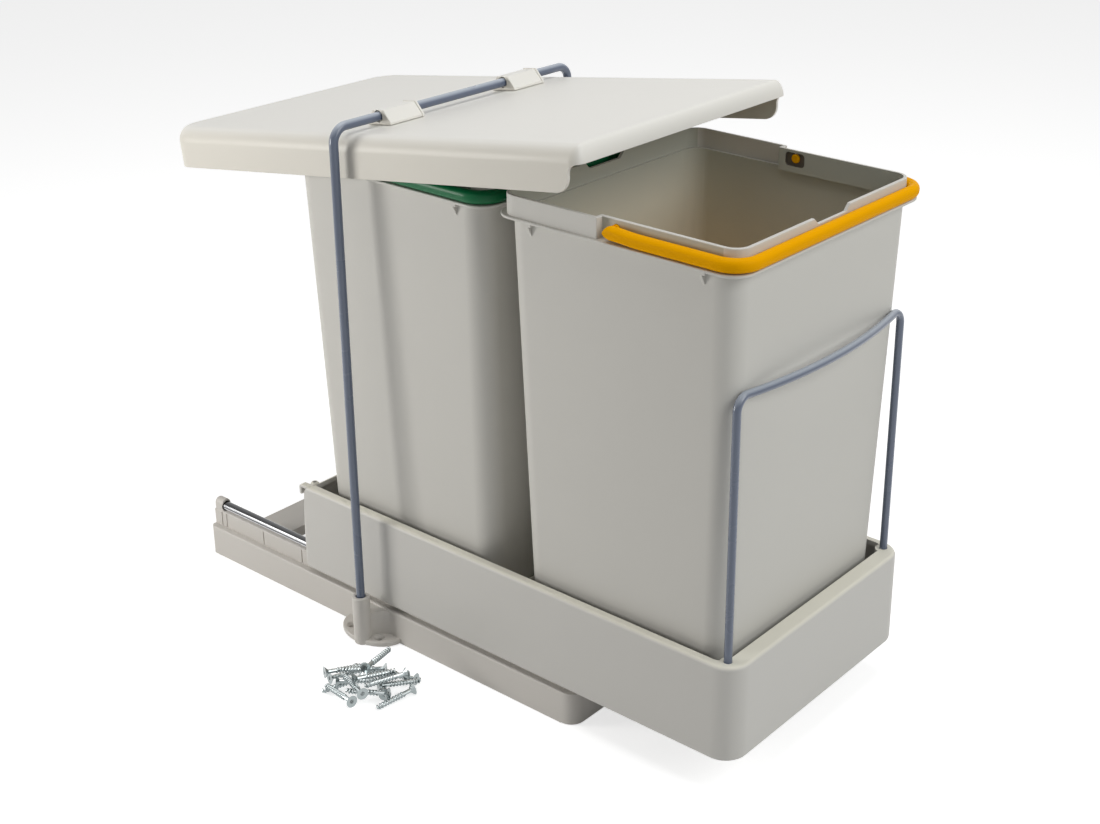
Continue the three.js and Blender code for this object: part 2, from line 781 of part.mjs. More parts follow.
// The hand notch in the collar's front and rear edges
function handNotch() {
  const low = collarTop - notchDepth;
  const shape = polygon([[-notchBottomHalf, low], [notchBottomHalf, low], [notchTopHalf, collarTop],
    [notchTopHalf, collarTop + 1], [-notchTopHalf, collarTop + 1], [-notchTopHalf, collarTop]]);
  return union(
    alongY(shape, -collarFront - 1, 4 - collarFront),
    alongY(shape, collarRear - 4, collarRear + 1),
  );
}

// Where the handle's pin comes through: a recess inside the collar and a hole
function pivotCut() {
  const half = recessWidth / 2;
  const face = collarHalfWidth - collarWall;
  const recess = alongX(roundedRect(-half, half, recessFloor, collarTop - 2, 3), face - 1, face + recessDepth);
  const hole = crossPole(pinRadius + slip, face - 1, collarHalfWidth + 1, smallSides).translate([0, 0, pivotHeight]);
  return recess.add(hole);
}

function bin() {
  const flange = roundedRect(-flangeHalfWidth, flangeHalfWidth, -flangeHalfDepth, flangeHalfDepth, flangeCorner);
  const low = flangeTop - flangeThickness;
  const outside = union(
    binBody(0, binBottom, flangeTop - 0.5),
    plate(flange, low, flangeTop, 0.5),
    collar(0, low, collarTop),
    both(flangeTab(-tabFromMiddle)),
    both(flangeTab(tabFromMiddle)),
  );
  const throat = collar(collarWall, low - 0.5, flangeTop + 0.5);
  const inside = union(
    binBody(binWall, binBottom + binBase, low),
    binBody(binWall, binBottom + binBase, flangeTop + 0.5).intersect(throat),
    collar(collarWall, flangeTop, collarTop + 1),
  );
  return outside.subtract(inside).subtract(handNotch()).subtract(both(pivotCut()));
}

// ---- Handle, about the bin's middle: a bail folded forward round the collar

function handle() {
  const inner = collarHalfWidth + handleGap;
  const outer = inner + handleThickness;
  const innerFront = -collarFront - handleFrontGap;
  const outerFront = innerFront - handleThickness + 0.6;
  const r = collarCorner + handleFrontGap;
  const big = r + handleThickness - 1;
  const shape = new THREE.Shape();
  shape.moveTo(-outer, 0);
  shape.lineTo(-outer, outerFront + big);
  shape.absarc(big - outer, outerFront + big, big, Math.PI, 1.5 * Math.PI);
  shape.lineTo(outer - big, outerFront);
  shape.absarc(outer - big, outerFront + big, big, 1.5 * Math.PI, 2 * Math.PI);
  shape.lineTo(outer, 0);
  shape.lineTo(inner, 0);
  shape.lineTo(inner, innerFront + r);
  shape.absarc(inner - r, innerFront + r, r, 0, -Math.PI / 2, true);
  shape.lineTo(r - inner, innerFront);
  shape.absarc(r - inner, innerFront + r, r, 1.5 * Math.PI, Math.PI, true);
  shape.lineTo(-inner, 0);
  const half = handleHeight / 2;
  const middle = pivotHeight - handleDrop;
  const bail = plate(shape, middle - half, middle + half, handleRound);
  const eye = turned([[0, inner], [half - 1, inner], [half, inner + 1], [half, outer - 1.5], [half - 1.5, outer], [0, outer]]);
  const face = collarHalfWidth - collarWall + recessDepth - seat;
  const pin = crossPole(pinRadius, face - pinHeadThickness, inner + 1, smallSides);
  const head = crossPole(pinHeadRadius, face - pinHeadThickness, face, smallSides);
  const pivot = union(eye.rotate([0, 90, 0]), pin, head).translate([0, 0, pivotHeight]);
  return bail.add(both(pivot));
}

// ---- Lid, level, about the hoop bar's axis

// The lid's outer surface: a skirt that rolls over softly into a flat top
function lidSkin(inset) {
  const rows = [[0, -lidSkirt - inset * 2]];
  for (const degrees of [0, 18, 36, 54, 72, 90]) {
    const angle = THREE.MathUtils.degToRad(degrees);
    rows.push([shoulderWidth * (1 - Math.cos(angle)), -lidTop - shoulderDrop * (1 - Math.sin(angle))]);
  }
  const rings = rows.map(([draw, z]) => {
    const d = draw + inset;
    return ring(lidHalfWidth - d, d - lidFront, lidRear - d, Math.max(lidCorner - d, 1.5), z - inset);
  });
  return skin(rings);
}

// What is cut from the skirt below the front lip
function lipCut() {
  const reach = 30;
  const edge = skirtSetback - lidFront;
  const shape = new THREE.Shape();
  shape.moveTo(-lidFront - reach, -lidLip);
  shape.lineTo(edge - lipFillet, -lidLip);
  shape.absarc(edge - lipFillet, -lidLip - lipFillet, lipFillet, Math.PI / 2, 0, true);
  shape.lineTo(edge, skirtRound - lidSkirt);
  shape.absarc(edge + skirtRound, skirtRound - lidSkirt, skirtRound, Math.PI, 1.5 * Math.PI);
  shape.lineTo(edge + skirtRound, -lidSkirt - reach);
  shape.lineTo(-lidFront - reach, -lidSkirt - reach);
  return alongX(shape, -lidHalfWidth - 1, lidHalfWidth + 1);
}

function lidShell() {
  return lidSkin(0).subtract(lidSkin(lidThickness)).subtract(lipCut());
}

// A block on the lid that the hoop's bar runs through
function lidClip() {
  const low = seat - lidTop;
  const half = clipHalfDepth;
  const profile = polygon([[-half, low], [half, low], [half, low + 2], [hoopRadius + 2.5, clipTop],
    [-hoopRadius - 2.5, clipTop], [-half, low + 2]]);
  const x0 = clipOffset - clipHalfLength;
  const x1 = clipOffset + clipHalfLength;
  const ridge = polygon([[-half - clipRidge, low], [half + clipRidge, low], [half + clipRidge, low + 2.5],
    [hoopRadius + 3, clipTop + clipRidge], [-hoopRadius - 3, clipTop + clipRidge], [-half - clipRidge, low + 2.5]]);
  const block = alongX(profile, x0, x1).add(alongX(ridge, x1 - clipRidgeWidth, x1));
  return block.subtract(crossPole(hoopRadius + slip, x0 - 1, x1 + 1));
}

// ---- Screws

// A countersunk screw that lies on the floor along X, its middle at the origin
function screw() {
  const half = screwLength / 2;
  const lean = Math.atan2(screwHeadRadius - screwRadius, screwLength - screwTip);
  const body = turned([[0, -half], [screwHeadRadius, -half], [screwHeadRadius, 0.4 - half],
    [screwRadius, screwHeadDepth - half], [screwRadius, half - screwTip], [0, half]], 8);
  const laid = body.rotate([0, 90, 0]).rotate([0, THREE.MathUtils.radToDeg(lean), 0]);
  return laid.translate([0, 0, -laid.boundingBox().min[2]]);
}

// The heap: each screw in turn is lifted until it clears those that lie below it
function screwHeap() {
  const placed = [];
  for (const [along, across, heading] of heap) {
    let next = screw().rotate([0, 0, heading]).translate([along, across, 0]);
    while (placed.some((other) => !next.intersect(other).isEmpty())) {
      next = next.translate([0, 0, heapStep]);
    }
    placed.push(next);
  }
  return placed.map((body) => body.rotate([0, 0, heapTurn]).translate([heapX, heapY, 0]));
}

// ---- Assembly

const unit = new THREE.Group();
unit.add(node("base_frame", baseFrame(), paint.base));

const rod = rodBody(rodRadius, baseDepth / 2 - rodEndInset);
unit.add(node("rod_right", rod, paint.rod));
unit.add(node("rod_left", mirrored(rod), paint.rod));
unit.add(node("lid_hoop", lidHoop(), paint.wire));

unit.add(node("tray_frame", trayFrame(), paint.tray));
unit.add(node("front_guard", frontGuard(), paint.wire));

for (const [side, sign] of [["right", 1], ["left", -1]]) {
  for (const [end, y] of [["front", rollerYs()[0]], ["rear", rollerYs()[1]]]) {
    const wheel = node(`roller_${end}_${side}`, roller(), paint.nylon);
    wheel.position.set(sign * rodOffset, y, axleHeight);
    const pin = axleBody(axleRadius, y, cheekX() - cheekThickness + seat, trayWidth / 2 - trayWall / 2 - seat);
    unit.add(wheel, node(`axle_${end}_${side}`, sign > 0 ? pin : mirrored(pin), paint.steel));
  }
}

for (const [place, shift, colour] of [["front", 0, paint.yellow], ["rear", binPitch, paint.green]]) {
  const container = node(`${place}_bin`, bin(), paint.bin);
  const bail = node(`${place}_handle`, handle(), colour);
  container.position.y = binMiddle() + shift;
  bail.position.y = binMiddle() + shift;
  unit.add(container, bail);
}

const lid = new THREE.Group();
lid.position.z = hoopHeight;
lid.rotation.x = -THREE.MathUtils.degToRad(lidTilt);
lid.add(node("lid_shell", lidShell(), paint.lid));
lid.add(node("lid_clip_right", lidClip(), paint.lid));
lid.add(node("lid_clip_left", lidClip().translate([-2 * clipOffset, 0, 0]), paint.lid));
unit.add(lid);

screwHeap().forEach((body, i) => unit.add(node(`mounting_screw_${i + 1}`, body, paint.steel)));

export default unit;
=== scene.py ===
import math

import bmesh
import bpy
from mathutils import Matrix, Vector


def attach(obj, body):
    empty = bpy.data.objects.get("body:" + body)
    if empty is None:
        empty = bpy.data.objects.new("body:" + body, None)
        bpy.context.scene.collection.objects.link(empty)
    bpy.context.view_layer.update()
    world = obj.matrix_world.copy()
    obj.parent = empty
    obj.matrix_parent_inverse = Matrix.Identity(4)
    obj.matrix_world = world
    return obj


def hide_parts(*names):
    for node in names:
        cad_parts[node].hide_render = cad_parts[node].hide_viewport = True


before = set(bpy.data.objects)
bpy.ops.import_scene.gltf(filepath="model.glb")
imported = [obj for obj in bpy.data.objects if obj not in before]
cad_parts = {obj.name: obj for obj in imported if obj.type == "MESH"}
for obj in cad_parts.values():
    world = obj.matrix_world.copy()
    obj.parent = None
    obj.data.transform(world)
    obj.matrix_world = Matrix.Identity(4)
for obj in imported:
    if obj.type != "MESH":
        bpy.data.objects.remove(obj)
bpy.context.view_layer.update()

print("frame loaded,", len(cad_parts), "nodes")

mm = 0.001
past = 1  # how far a cutter reaches past the face it cuts, in millimetres
scene = bpy.context.scene
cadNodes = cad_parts


# from here on sizes are millimetres in the frame's axes, X right, Y rear, Z up

def linked(name, data):
    obj = bpy.data.objects.new(name, data)
    scene.collection.objects.link(obj)
    return obj


def outward(mesh, weld=0.0):  # merges doubles closer than weld, then points the faces outwards
    work = bmesh.new()
    work.from_mesh(mesh)
    if weld:
        bmesh.ops.remove_doubles(work, verts=work.verts, dist=weld * mm)
    bmesh.ops.recalc_face_normals(work, faces=work.faces)
    work.to_mesh(mesh)
    work.free()


def meshObject(name, points, faces):
    mesh = bpy.data.meshes.new(name)
    mesh.from_pydata([(x * mm, y * mm, z * mm) for x, y, z in points], [], faces)
    outward(mesh, weld=0.01)
    return linked(name, mesh)


def frozen(obj, spent=()):  # the modifiers' result becomes the mesh
    graph = bpy.context.evaluated_depsgraph_get()
    mesh = bpy.data.meshes.new_from_object(obj.evaluated_get(graph))
    obj.modifiers.clear()
    obj.data = mesh
    for other in spent:
        bpy.data.objects.remove(other)
    return obj


def arc(centreX, centreY, radius, start, end, steps=8):
    angles = [math.radians(start + (end - start) * i / steps) for i in range(steps + 1)]
    return [(centreX + radius * math.cos(a), centreY + radius * math.sin(a)) for a in angles]


def roundedRect(x0, x1, y0, y1, front, rear=None, steps=8):
    rear = front if rear is None else rear
    return (arc(x1 - front, y0 + front, front, -90, 0, steps)
            + arc(x1 - rear, y1 - rear, rear, 0, 90, steps)
            + arc(x0 + rear, y1 - rear, rear, 90, 180, steps)
            + arc(x0 + front, y0 + front, front, 180, 270, steps))


def shifted(shape, x, y):
    return [(u + x, v + y) for u, v in shape]


def skin(name, rings, hollow=False):  # over rings of equal counts, closed by caps or into a loop
    count, rows = len(rings[0]), len(rings)
    faces = [(k * count + i, k * count + (i + 1) % count,
              (k + 1) % rows * count + (i + 1) % count, (k + 1) % rows * count + i)
             for k in range(rows if hollow else rows - 1) for i in range(count)]
    if not hollow:
        faces += [tuple(range(count))[::-1], tuple((rows - 1) * count + i for i in range(count))]
    return meshObject(name, [p for ring in rings for p in ring], faces)


def edged(obj, width, segments=3, sharper=40):  # rounds the edges that are sharper than an angle
    bevel = obj.modifiers.new("edge", "BEVEL")
    bevel.width = width * mm
    bevel.segments = segments
    bevel.limit_method = "ANGLE"
    bevel.angle_limit = math.radians(sharper)
    return frozen(obj)


# an outline's two directions and the way along it, for each axis
axes = {"z": lambda u, v, w: (u, v, w), "y": lambda u, v, w: (u, w, v), "x": lambda u, v, w: (w, u, v)}


def prism(name, shape, low, high, along="z", edge=0.0, segments=3):
    obj = skin(name, [[axes[along](u, v, w) for u, v in shape] for w in (low, high)])
    return edged(obj, edge, segments) if edge else obj


def block(name, x0, x1, y0, y1, z0, z1, edge=0.0):
    return prism(name, [(x0, y0), (x1, y0), (x1, y1), (x0, y1)], z0, z1, edge=edge, segments=2)


def turned(name, profile, centre, along="z", sides=32, hollow=False):  # a profile of radius and height
    rings = []
    for radius, height in profile:
        ring = []
        for i in range(sides):
            a, r = 2 * math.pi * i / sides, max(radius, 0.001)
            point = axes[along](r * math.cos(a), r * math.sin(a), height)
            ring.append(tuple(p + c for p, c in zip(point, centre)))
        rings.append(ring)
    return skin(name, rings, hollow)


def bar(name, radius, low, high, centre, along="z", sides=32, chamfer=0.0):  # round, with plain or cut ends
    side = [(radius, low), (radius, high)]
    if chamfer:
        side = [(radius - chamfer, low), (radius, low + chamfer),
                (radius, high - chamfer), (radius - chamfer, high)]
    return turned(name, [(0, low), *side, (0, high)], centre, along, sides)


def mirrored(obj):  # a copy on the other side of the middle plane
    twin = linked(obj.name, obj.data.copy())
    twin.data.transform(Matrix.Scale(-1, 4, (1, 0, 0)))
    outward(twin.data)
    return twin


def both(*objs):
    return [o for obj in objs for o in (obj, mirrored(obj))]


def carved(obj, adds=(), cuts=(), common=()):
    for operation, others in (("INTERSECT", common), ("UNION", adds), ("DIFFERENCE", cuts)):
        for other in others:
            step = obj.modifiers.new(operation, "BOOLEAN")
            step.operation = operation
            step.solver = "MANIFOLD"
            step.object = other
    return frozen(obj, [*common, *adds, *cuts])


def smoothed(obj, angle=32, weld=0.004):  # soft rounds, flat flats
    work = bmesh.new()
    work.from_mesh(obj.data)
    bmesh.ops.remove_doubles(work, verts=work.verts, dist=weld * mm)
    bmesh.ops.dissolve_degenerate(work, edges=work.edges, dist=weld * mm)
    work.to_mesh(obj.data)
    work.free()
    obj.data.shade_smooth()
    obj.data.set_sharp_from_angle(angle=math.radians(angle))
    weigh = obj.modifiers.new("weigh", "WEIGHTED_NORMAL")
    weigh.keep_sharp = True
    return frozen(obj)


# node trees, for the materials and for the pieces that a tree makes

def fill(tree, node, sockets):  # each socket gets a link or a plain value
    for socket, value in sockets.items():
        if isinstance(value, bpy.types.NodeSocket):
            tree.links.new(value, node.inputs[socket])
        else:
            node.inputs[socket].default_value = value
    return node


def adder(tree):  # gives the function that adds a node to this tree
    def add(kind, sockets=None, **settings):
        node = tree.nodes.new(kind)
        for key, value in settings.items():
            setattr(node, key, value)
        return fill(tree, node, sockets or {})
    return add


def nodeGroup(name, kind, inputs, outputs):  # sockets as name, type and value
    group = bpy.data.node_groups.new(name, kind)
    for label, socket, value in inputs:
        made = group.interface.new_socket(name=label, in_out="INPUT", socket_type="NodeSocket" + socket)
        if value is not None:
            made.default_value = value
    for label, socket in outputs:
        group.interface.new_socket(name=label, in_out="OUTPUT", socket_type="NodeSocket" + socket)
    add = adder(group)
    return group, add, add("NodeGroupInput").outputs


# shader effects shared by the materials

def makeMouldGrain():  # spark-eroded mould texture with slow drifts of tone
    group, add, given = nodeGroup(
        "mouldGrain", "ShaderNodeTree",
        [("Grain Scale", "Float", 1400.0), ("Drift Scale", "Float", 9.0), ("Drift", "Float", 0.04),
         ("Roughness Drift", "Float", 0.12), ("Roughness", "Float", 0.5),
         ("Colour", "Color", (0.5, 0.5, 0.5, 1))],
        [("Colour", "Color"), ("Roughness", "Float"), ("Height", "Float")])
    place = add("ShaderNodeTexCoord").outputs["Object"]
    grain = add("ShaderNodeTexNoise", {"Vector": place, "Scale": given["Grain Scale"], "Detail": 2})
    drift = add("ShaderNodeTexNoise", {"Vector": place, "Scale": given["Drift Scale"], "Detail": 3})
    centred = add("ShaderNodeMath", {0: drift.outputs["Fac"], 1: 0.5}, operation="SUBTRACT").outputs[0]
    amount = add("ShaderNodeMath", {0: centred, 1: given["Drift"], 2: 1}, operation="MULTIPLY_ADD")
    tint = add("ShaderNodeVectorMath", {0: given["Colour"], "Scale": amount.outputs[0]}, operation="SCALE")
    rough = add("ShaderNodeMath", {0: centred, 1: given["Roughness Drift"], 2: given["Roughness"]},
                operation="MULTIPLY_ADD")
    add("NodeGroupOutput", {"Colour": tint.outputs["Vector"], "Roughness": rough.outputs[0],
                            "Height": grain.outputs["Fac"]})
    return group


def makeScuffs():  # fine handling marks as a mask
    group, add, given = nodeGroup("scuffs", "ShaderNodeTree",
                                  [("Scale", "Float", 60.0), ("Share", "Float", 0.3)], [("Mask", "Float")])
    place = add("ShaderNodeTexCoord").outputs["Object"]
    stretch = add("ShaderNodeMapping", {"Vector": place, "Scale": (1, 0.25, 1.7)})
    marks = add("ShaderNodeTexNoise", {"Vector": stretch.outputs["Vector"], "Scale": given["Scale"],
                                       "Detail": 6, "Roughness": 0.7})
    mask = add("ShaderNodeMapRange", {"Value": marks.outputs["Fac"], "From Min": 0.58, "From Max": 0.78,
                                      "To Max": given["Share"]})
    add("NodeGroupOutput", {"Mask": mask.outputs["Result"]})
    return group


mouldGrain = makeMouldGrain()
scuffs = makeScuffs()


def tone(red, green, blue):  # a colour as seen on screen, made linear
    def linear(value):
        value /= 255
        return value / 12.92 if value <= 0.04045 else ((value + 0.055) / 1.055) ** 2.4
    return (linear(red), linear(green), linear(blue), 1)


def blend(add, share, first, second):  # of two colours, or of blends of others
    return add("ShaderNodeMix", {0: share, 6: first, 7: second}, data_type="RGBA").outputs[2]


def ramp(add, value, low, high):  # 0 at low and 1 at high
    return add("ShaderNodeMapRange", {"Value": value, "From Min": low, "From Max": high}).outputs["Result"]


def reading(add, vector, axis):  # one of a vector's three numbers
    return add("ShaderNodeSeparateXYZ", {0: vector}).outputs[axis]


def facing(add, axis):  # how far a face looks along an axis
    return reading(add, add("ShaderNodeNewGeometry").outputs["Normal"], axis)


# where each painted shade and painted reflection tint starts and is full, as a share of the normal
spans = {"under": (0.35, 0.9), "sides": (0.5, 0.95), "bands": (-0.2, 1)}


def paintedLiningLight(add, look):  # painted light and shade: a bin's lining gets painted shade near its rim that turns to a painted warm glow towards its floor, and its pivot recesses get painted shade
    top, low, recess = look["inside"]
    mask = add("ShaderNodeAttribute", attribute_name="inside").outputs["Fac"]  # 1 inside, 2 in a recess
    height = reading(add, add("ShaderNodeTexCoord").outputs["Object"], "Z")
    paintedWarmLining = blend(add, ramp(add, height, *look["insideHeights"]), top, low)
    return blend(add, mask, look["colour"], blend(add, ramp(add, mask, 1, 2), paintedWarmLining, recess))


def paintedUnderShade(add, look):  # painted shade and painted reflection: what faces sideways or down gets a darker colour, as if it mirrored the dark below it, and what faces up stays lighter
    return blend(add, ramp(add, facing(add, "Z"), *spans["under"]), look["under"], look["colour"])


def paintedSideShade(add, look):  # painted shade: what faces left or right gets a darker, warmer colour
    size = add("ShaderNodeMath", {0: facing(add, "X")}, operation="ABSOLUTE").outputs[0]
    return blend(add, ramp(add, size, *spans["sides"]), look["colour"], look["sides"])


def paintedReflectionBands(add, look):  # painted reflection: streaks along a polished rod, painted by which way each face looks, as if it mirrored a room
    bands = add("ShaderNodeValToRGB", {"Fac": ramp(add, facing(add, "Z"), *spans["bands"])})
    stops = bands.color_ramp.elements
    stops.remove(stops[1])
    for position, shade in look["bands"]:
        stop = stops.new(position) if position else stops[0]
        stop.color = (shade, shade * 1.01, shade * 1.04, 1)
    return bands.outputs["Color"]


tints = {"inside": paintedLiningLight, "under": paintedUnderShade, "sides": paintedSideShade, "bands": paintedReflectionBands}

finishes = {
    "basePlastic": {"slot": "base_plastic", "colour": tone(206, 202, 196), "roughness": 0.46, "bump": 0.15},
    # the tray's faces that look up get a painted highlight, and the rest of it painted shade
    "trayPlastic": {"slot": "tray_plastic", "colour": tone(232, 229, 216), "roughness": 0.42, "bump": 0.12,
                    "under": tone(203, 201, 196)},
    # the bin's lining gets painted shade near its rim and a painted warm glow towards its floor, and its pivot
    # recesses painted shade
    "binPlastic": {"slot": "bin_plastic", "colour": tone(206, 204, 198), "roughness": 0.52, "bump": 0.16,
                   "inside": (tone(180, 182, 172), tone(243, 224, 193), tone(104, 98, 88)),
                   "insideHeights": (0.402, 0.27)},
    # the lid's faces that look left or right get painted shade
    "lidPlastic": {"slot": "lid_plastic", "colour": tone(230, 228, 222), "roughness": 0.4, "bump": 0.1,
                   "sides": tone(219, 215, 205)},
    # the wire gets a painted highlight on its top and painted shade on its sides and below
    "coatedWire": {"slot": "coated_wire", "colour": tone(166, 174, 186), "roughness": 0.28, "bump": 0.04,
                   "coat": 0.6, "under": tone(90, 100, 120)},
    # the rod's colour is painted reflection, dark and light streaks by which way each face looks
    "chromedRod": {"slot": "chromed_rod", "roughness": 0.12, "bump": 0.01, "metallic": 1, "scuffs": 0.05,
                   "bands": ((0, 0.8), (0.13, 0.09), (0.32, 0.1), (0.44, 0.7), (0.56, 0.16), (0.78, 0.05),
                             (1, 0.12))},
    # the screws get painted shade on the faces that look sideways or down
    "platedSteel": {"slot": "plated_steel", "colour": tone(216, 222, 223), "roughness": 0.24, "bump": 0.04,
                    "metallic": 1, "under": tone(158, 166, 167)},
    "nylonWhite": {"slot": "nylon", "colour": tone(228, 226, 220), "roughness": 0.4, "bump": 0.12},
    "yellowHandle": {"slot": "yellow_handle", "colour": tone(238, 168, 0), "roughness": 0.42, "bump": 0.03,
                     "gloss": 0.02},
    "greenHandle": {"slot": "green_handle", "colour": tone(6, 100, 58), "roughness": 0.32, "bump": 0.03,
                    "gloss": 0.2},
}


def finish(name, look):
    material = bpy.data.materials.new(name)
    material.use_nodes = True
    tree = material.node_tree
    add, colour = adder(tree), look.get("colour")
    for key, tint in tints.items():
        if key in look:
            colour = tint(add, look)
    grain = add("ShaderNodeGroup", {"Colour": colour, "Roughness": look["roughness"]}, node_tree=mouldGrain)
    marks = add("ShaderNodeGroup", {"Share": look.get("scuffs", 0.1)}, node_tree=scuffs)
    duller = add("ShaderNodeMath", {0: grain.outputs["Roughness"], 1: marks.outputs["Mask"]}, operation="ADD")
    bump = add("ShaderNodeBump", {"Strength": look["bump"], "Distance": 0.0001,
                                  "Height": grain.outputs["Height"]})
    fill(tree, tree.nodes["Principled BSDF"], {
        "Base Color": grain.outputs["Colour"], "Roughness": duller.outputs[0],
        "Normal": bump.outputs["Normal"], "Metallic": look.get("metallic", 0),
        "Specular IOR Level": look.get("gloss", 0.32), "Coat Weight": look.get("coat", 0),
        "Coat Roughness": 0.12})
    return material


paint = {name: finish(name, look) for name, look in finishes.items()}
print("materials made")


def dressed(obj, name, finishName, body, *nodes):  # a finished piece gets its name, material and body
    obj.name = name
    obj.data.materials.clear()
    obj.data.materials.append(paint[finishName])
    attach(obj, body)
    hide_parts(*nodes)


# geometry nodes: a wire along a curve, and screws on points

def geometryTree(name, inputs):
    return nodeGroup(name, "GeometryNodeTree",
                     [("Geometry", "Geometry", None), *inputs, ("Material", "Material", None)],
                     [("Geometry", "Geometry")])


def closeTree(add, given, geometry):  # the export needs real meshes with a material
    real = add("GeometryNodeRealizeInstances", {0: geometry})
    coat = add("GeometryNodeSetMaterial", {"Geometry": real.outputs[0], "Material": given["Material"]})
    add("NodeGroupOutput", {0: coat.outputs[0]})


def grown(obj, tree, values):  # runs a tree on an object and keeps the result as a mesh
    step = obj.modifiers.new(tree.name, "NODES")
    step.node_group = tree
    sockets = {s.name: s.identifier for s in tree.interface.items_tree if s.in_out == "INPUT"}
    for label, value in values.items():
        step[sockets[label]] = value
    graph = bpy.context.evaluated_depsgraph_get()
    mesh = bpy.data.meshes.new_from_object(obj.evaluated_get(graph))
    name = obj.name
    bpy.data.objects.remove(obj)
    return linked(name, mesh)


def makeWireTree():
    tree, add, given = geometryTree("wireAlongPath", [("Radius", "Float", 0.003), ("Sides", "Int", 20)])
    ring = add("GeometryNodeCurvePrimitiveCircle", {"Radius": given["Radius"], "Resolution": given["Sides"]})
    wire = add("GeometryNodeCurveToMesh", {"Curve": given["Geometry"], "Profile Curve": ring.outputs["Curve"],
                                           "Fill Caps": True})
    soft = add("GeometryNodeSetShadeSmooth", {"Geometry": wire.outputs["Mesh"]})
    closeTree(add, given, soft.outputs[0])
    return tree


wireTree = makeWireTree()


def bentWire(name, points, radius, finishName):
    curve = bpy.data.curves.new(name, "CURVE")
    curve.dimensions = "3D"
    spline = curve.splines.new("POLY")
    spline.points.add(len(points) - 1)
    for point, (x, y, z) in zip(spline.points, points):
        point.co = (x * mm, y * mm, z * mm, 1)
    wire = grown(linked(name, curve), wireTree,
                 {"Radius": radius * mm, "Sides": 24, "Material": paint[finishName]})
    outward(wire.data)
    wire.data.set_sharp_from_angle(angle=math.radians(50))
    return wire


def archPath(s):  # up, over and down, its bar bowed forward
    bend, y, top = s["bend"], s["y"], s["top"]
    left = [(-s["offset"], y, s["bottom"])]
    left += [(-s["offset"] + bend - u, y, top - bend + v) for u, v in arc(0, 0, bend, 0, 90, 12)]
    straight = s["offset"] - bend
    middle = []
    for i in range(1, 24):
        x = straight * (i / 12 - 1)
        middle.append((x, y - s["bow"] * (1 - (x / straight) ** 2), top))
    return left + middle + [(-px, py, pz) for px, py, pz in reversed(left)]


# hoop that carries the lid, and the guard in front of the bins

hoop = {"radius": 3.5, "offset": 131.4, "bottom": 6.3, "top": 435.5, "bend": 12, "y": 0, "bow": 0}
guard = {"radius": 3, "offset": 104.3, "bottom": 76.3, "top": 310.1, "bend": 10, "y": -346.6, "bow": 10}

for name, sizes, body, node in (("lidHoopWire", hoop, "base", "lid_hoop"),
                                ("frontGuardWire", guard, "tray", "front_guard")):
    wire = bentWire(name, archPath(sizes), sizes["radius"], "coatedWire")
    dressed(wire, name, "coatedWire", body, node)
print("wires bent")


# base: two rails, cross bars, rod posts and the hoop's feet

base = {"width": 230, "depth": 428, "height": 27.6, "wall": 2.5, "corner": 4, "ledge": 6, "railWidth": 9.5,
        "edge": 1.2, "railTop": 41.8, "railStart": 13, "railEdge": 0.6, "flange": 4, "ledgeRound": 1.6,
        "frontBar": 34, "frontCorner": 12, "middlePlate": 44, "plateThickness": 3, "rearPlate": 40,
        "plateHeight": 10, "rodX": 104, "rodZ": 46.1, "rodRadius": 4, "rodReach": 211, "rodChamfer": 0.6,
        "rodGap": 0.3, "postWidth": 9.6, "postDepth": 10.5, "postTop": 52.5, "postInset": 0.5, "postEdge": 1.1,
        "mouthGap": 0.75, "mouthDepth": 5, "slitPitch": 50, "slitFromRear": 16, "extraSlit": 6.5,
        "slitDepth": 1.2, "slitHalf": 0.6}
foot = {"hoopX": 131.4, "reach": 21.5, "overhang": 1.25, "halfLength": 31, "shift": 4, "thickness": 4.7,
        "flangeEdge": 1.4, "flareHalf": 25, "webHalf": 4.5, "webDrop": 1.5, "boss": 7.2, "bossTop": 43,
        "socket": 3.8, "socketMouth": 4.9, "socketLow": 6, "holeX": 125, "holeYs": (-12, 20),
        "holeRadius": 2.6, "sinkRadius": 4.7}


def oval(f, side):
    angles = [math.radians(a) for a in range(-90, 91, 5)]
    return [(side + (f["reach"] + f["overhang"]) * math.cos(a), f["shift"] + f["halfLength"] * math.sin(a))
            for a in angles]


def sweep(f, side, steps=10):  # hollow curves from the base's side out to the boss
    near = []
    for i in range(steps + 1):
        t = i / steps
        a, b, c = (1 - t) ** 2, 2 * t * (1 - t), t * t
        out = a * side + b * (side + 1) + c * f["hoopX"]
        near.append((out, -a * f["flareHalf"] - (b + c) * f["webHalf"]))
    return near + [(x, -y) for x, y in reversed(near)]


def makeRail(b):
    outer, wall, top, height = b["width"] / 2, b["wall"], b["railTop"], b["height"]
    ledge = outer - b["ledge"]
    inner = ledge - b["railWidth"]
    lip, edge, turn = inner - b["flange"], b["railEdge"], b["ledgeRound"]
    shape = [(outer, 0), (outer, height - turn), (outer - 0.5, height - 0.5), (outer - turn, height),
             (ledge, height), (ledge, top - edge), (ledge - edge, top), (lip + 0.4, top), (lip, top - 0.4),
             (lip, top - wall), (inner, top - wall), (inner, 0), (inner + wall, 0),
             (inner + wall, top - wall), (ledge - wall, top - wall), (ledge - wall, height - wall),
             (outer - wall, height - wall), (outer - wall, 0)]
    return prism("rail", shape, b["railStart"] - b["depth"] / 2, b["depth"] / 2, "y")


def makePost(b, end):
    half, near = b["postWidth"] / 2, b["depth"] / 2 - b["postInset"]
    low = b["height"] - 1
    crown = [(-half, low), (half, low), *arc(0, b["postTop"] - half, half, 0, 180, 14)]
    span = (near - b["postDepth"], near) if end > 0 else (-near, b["postDepth"] - near)
    return prism("post", shifted(crown, b["rodX"], 0), *span, "y", edge=b["postEdge"])


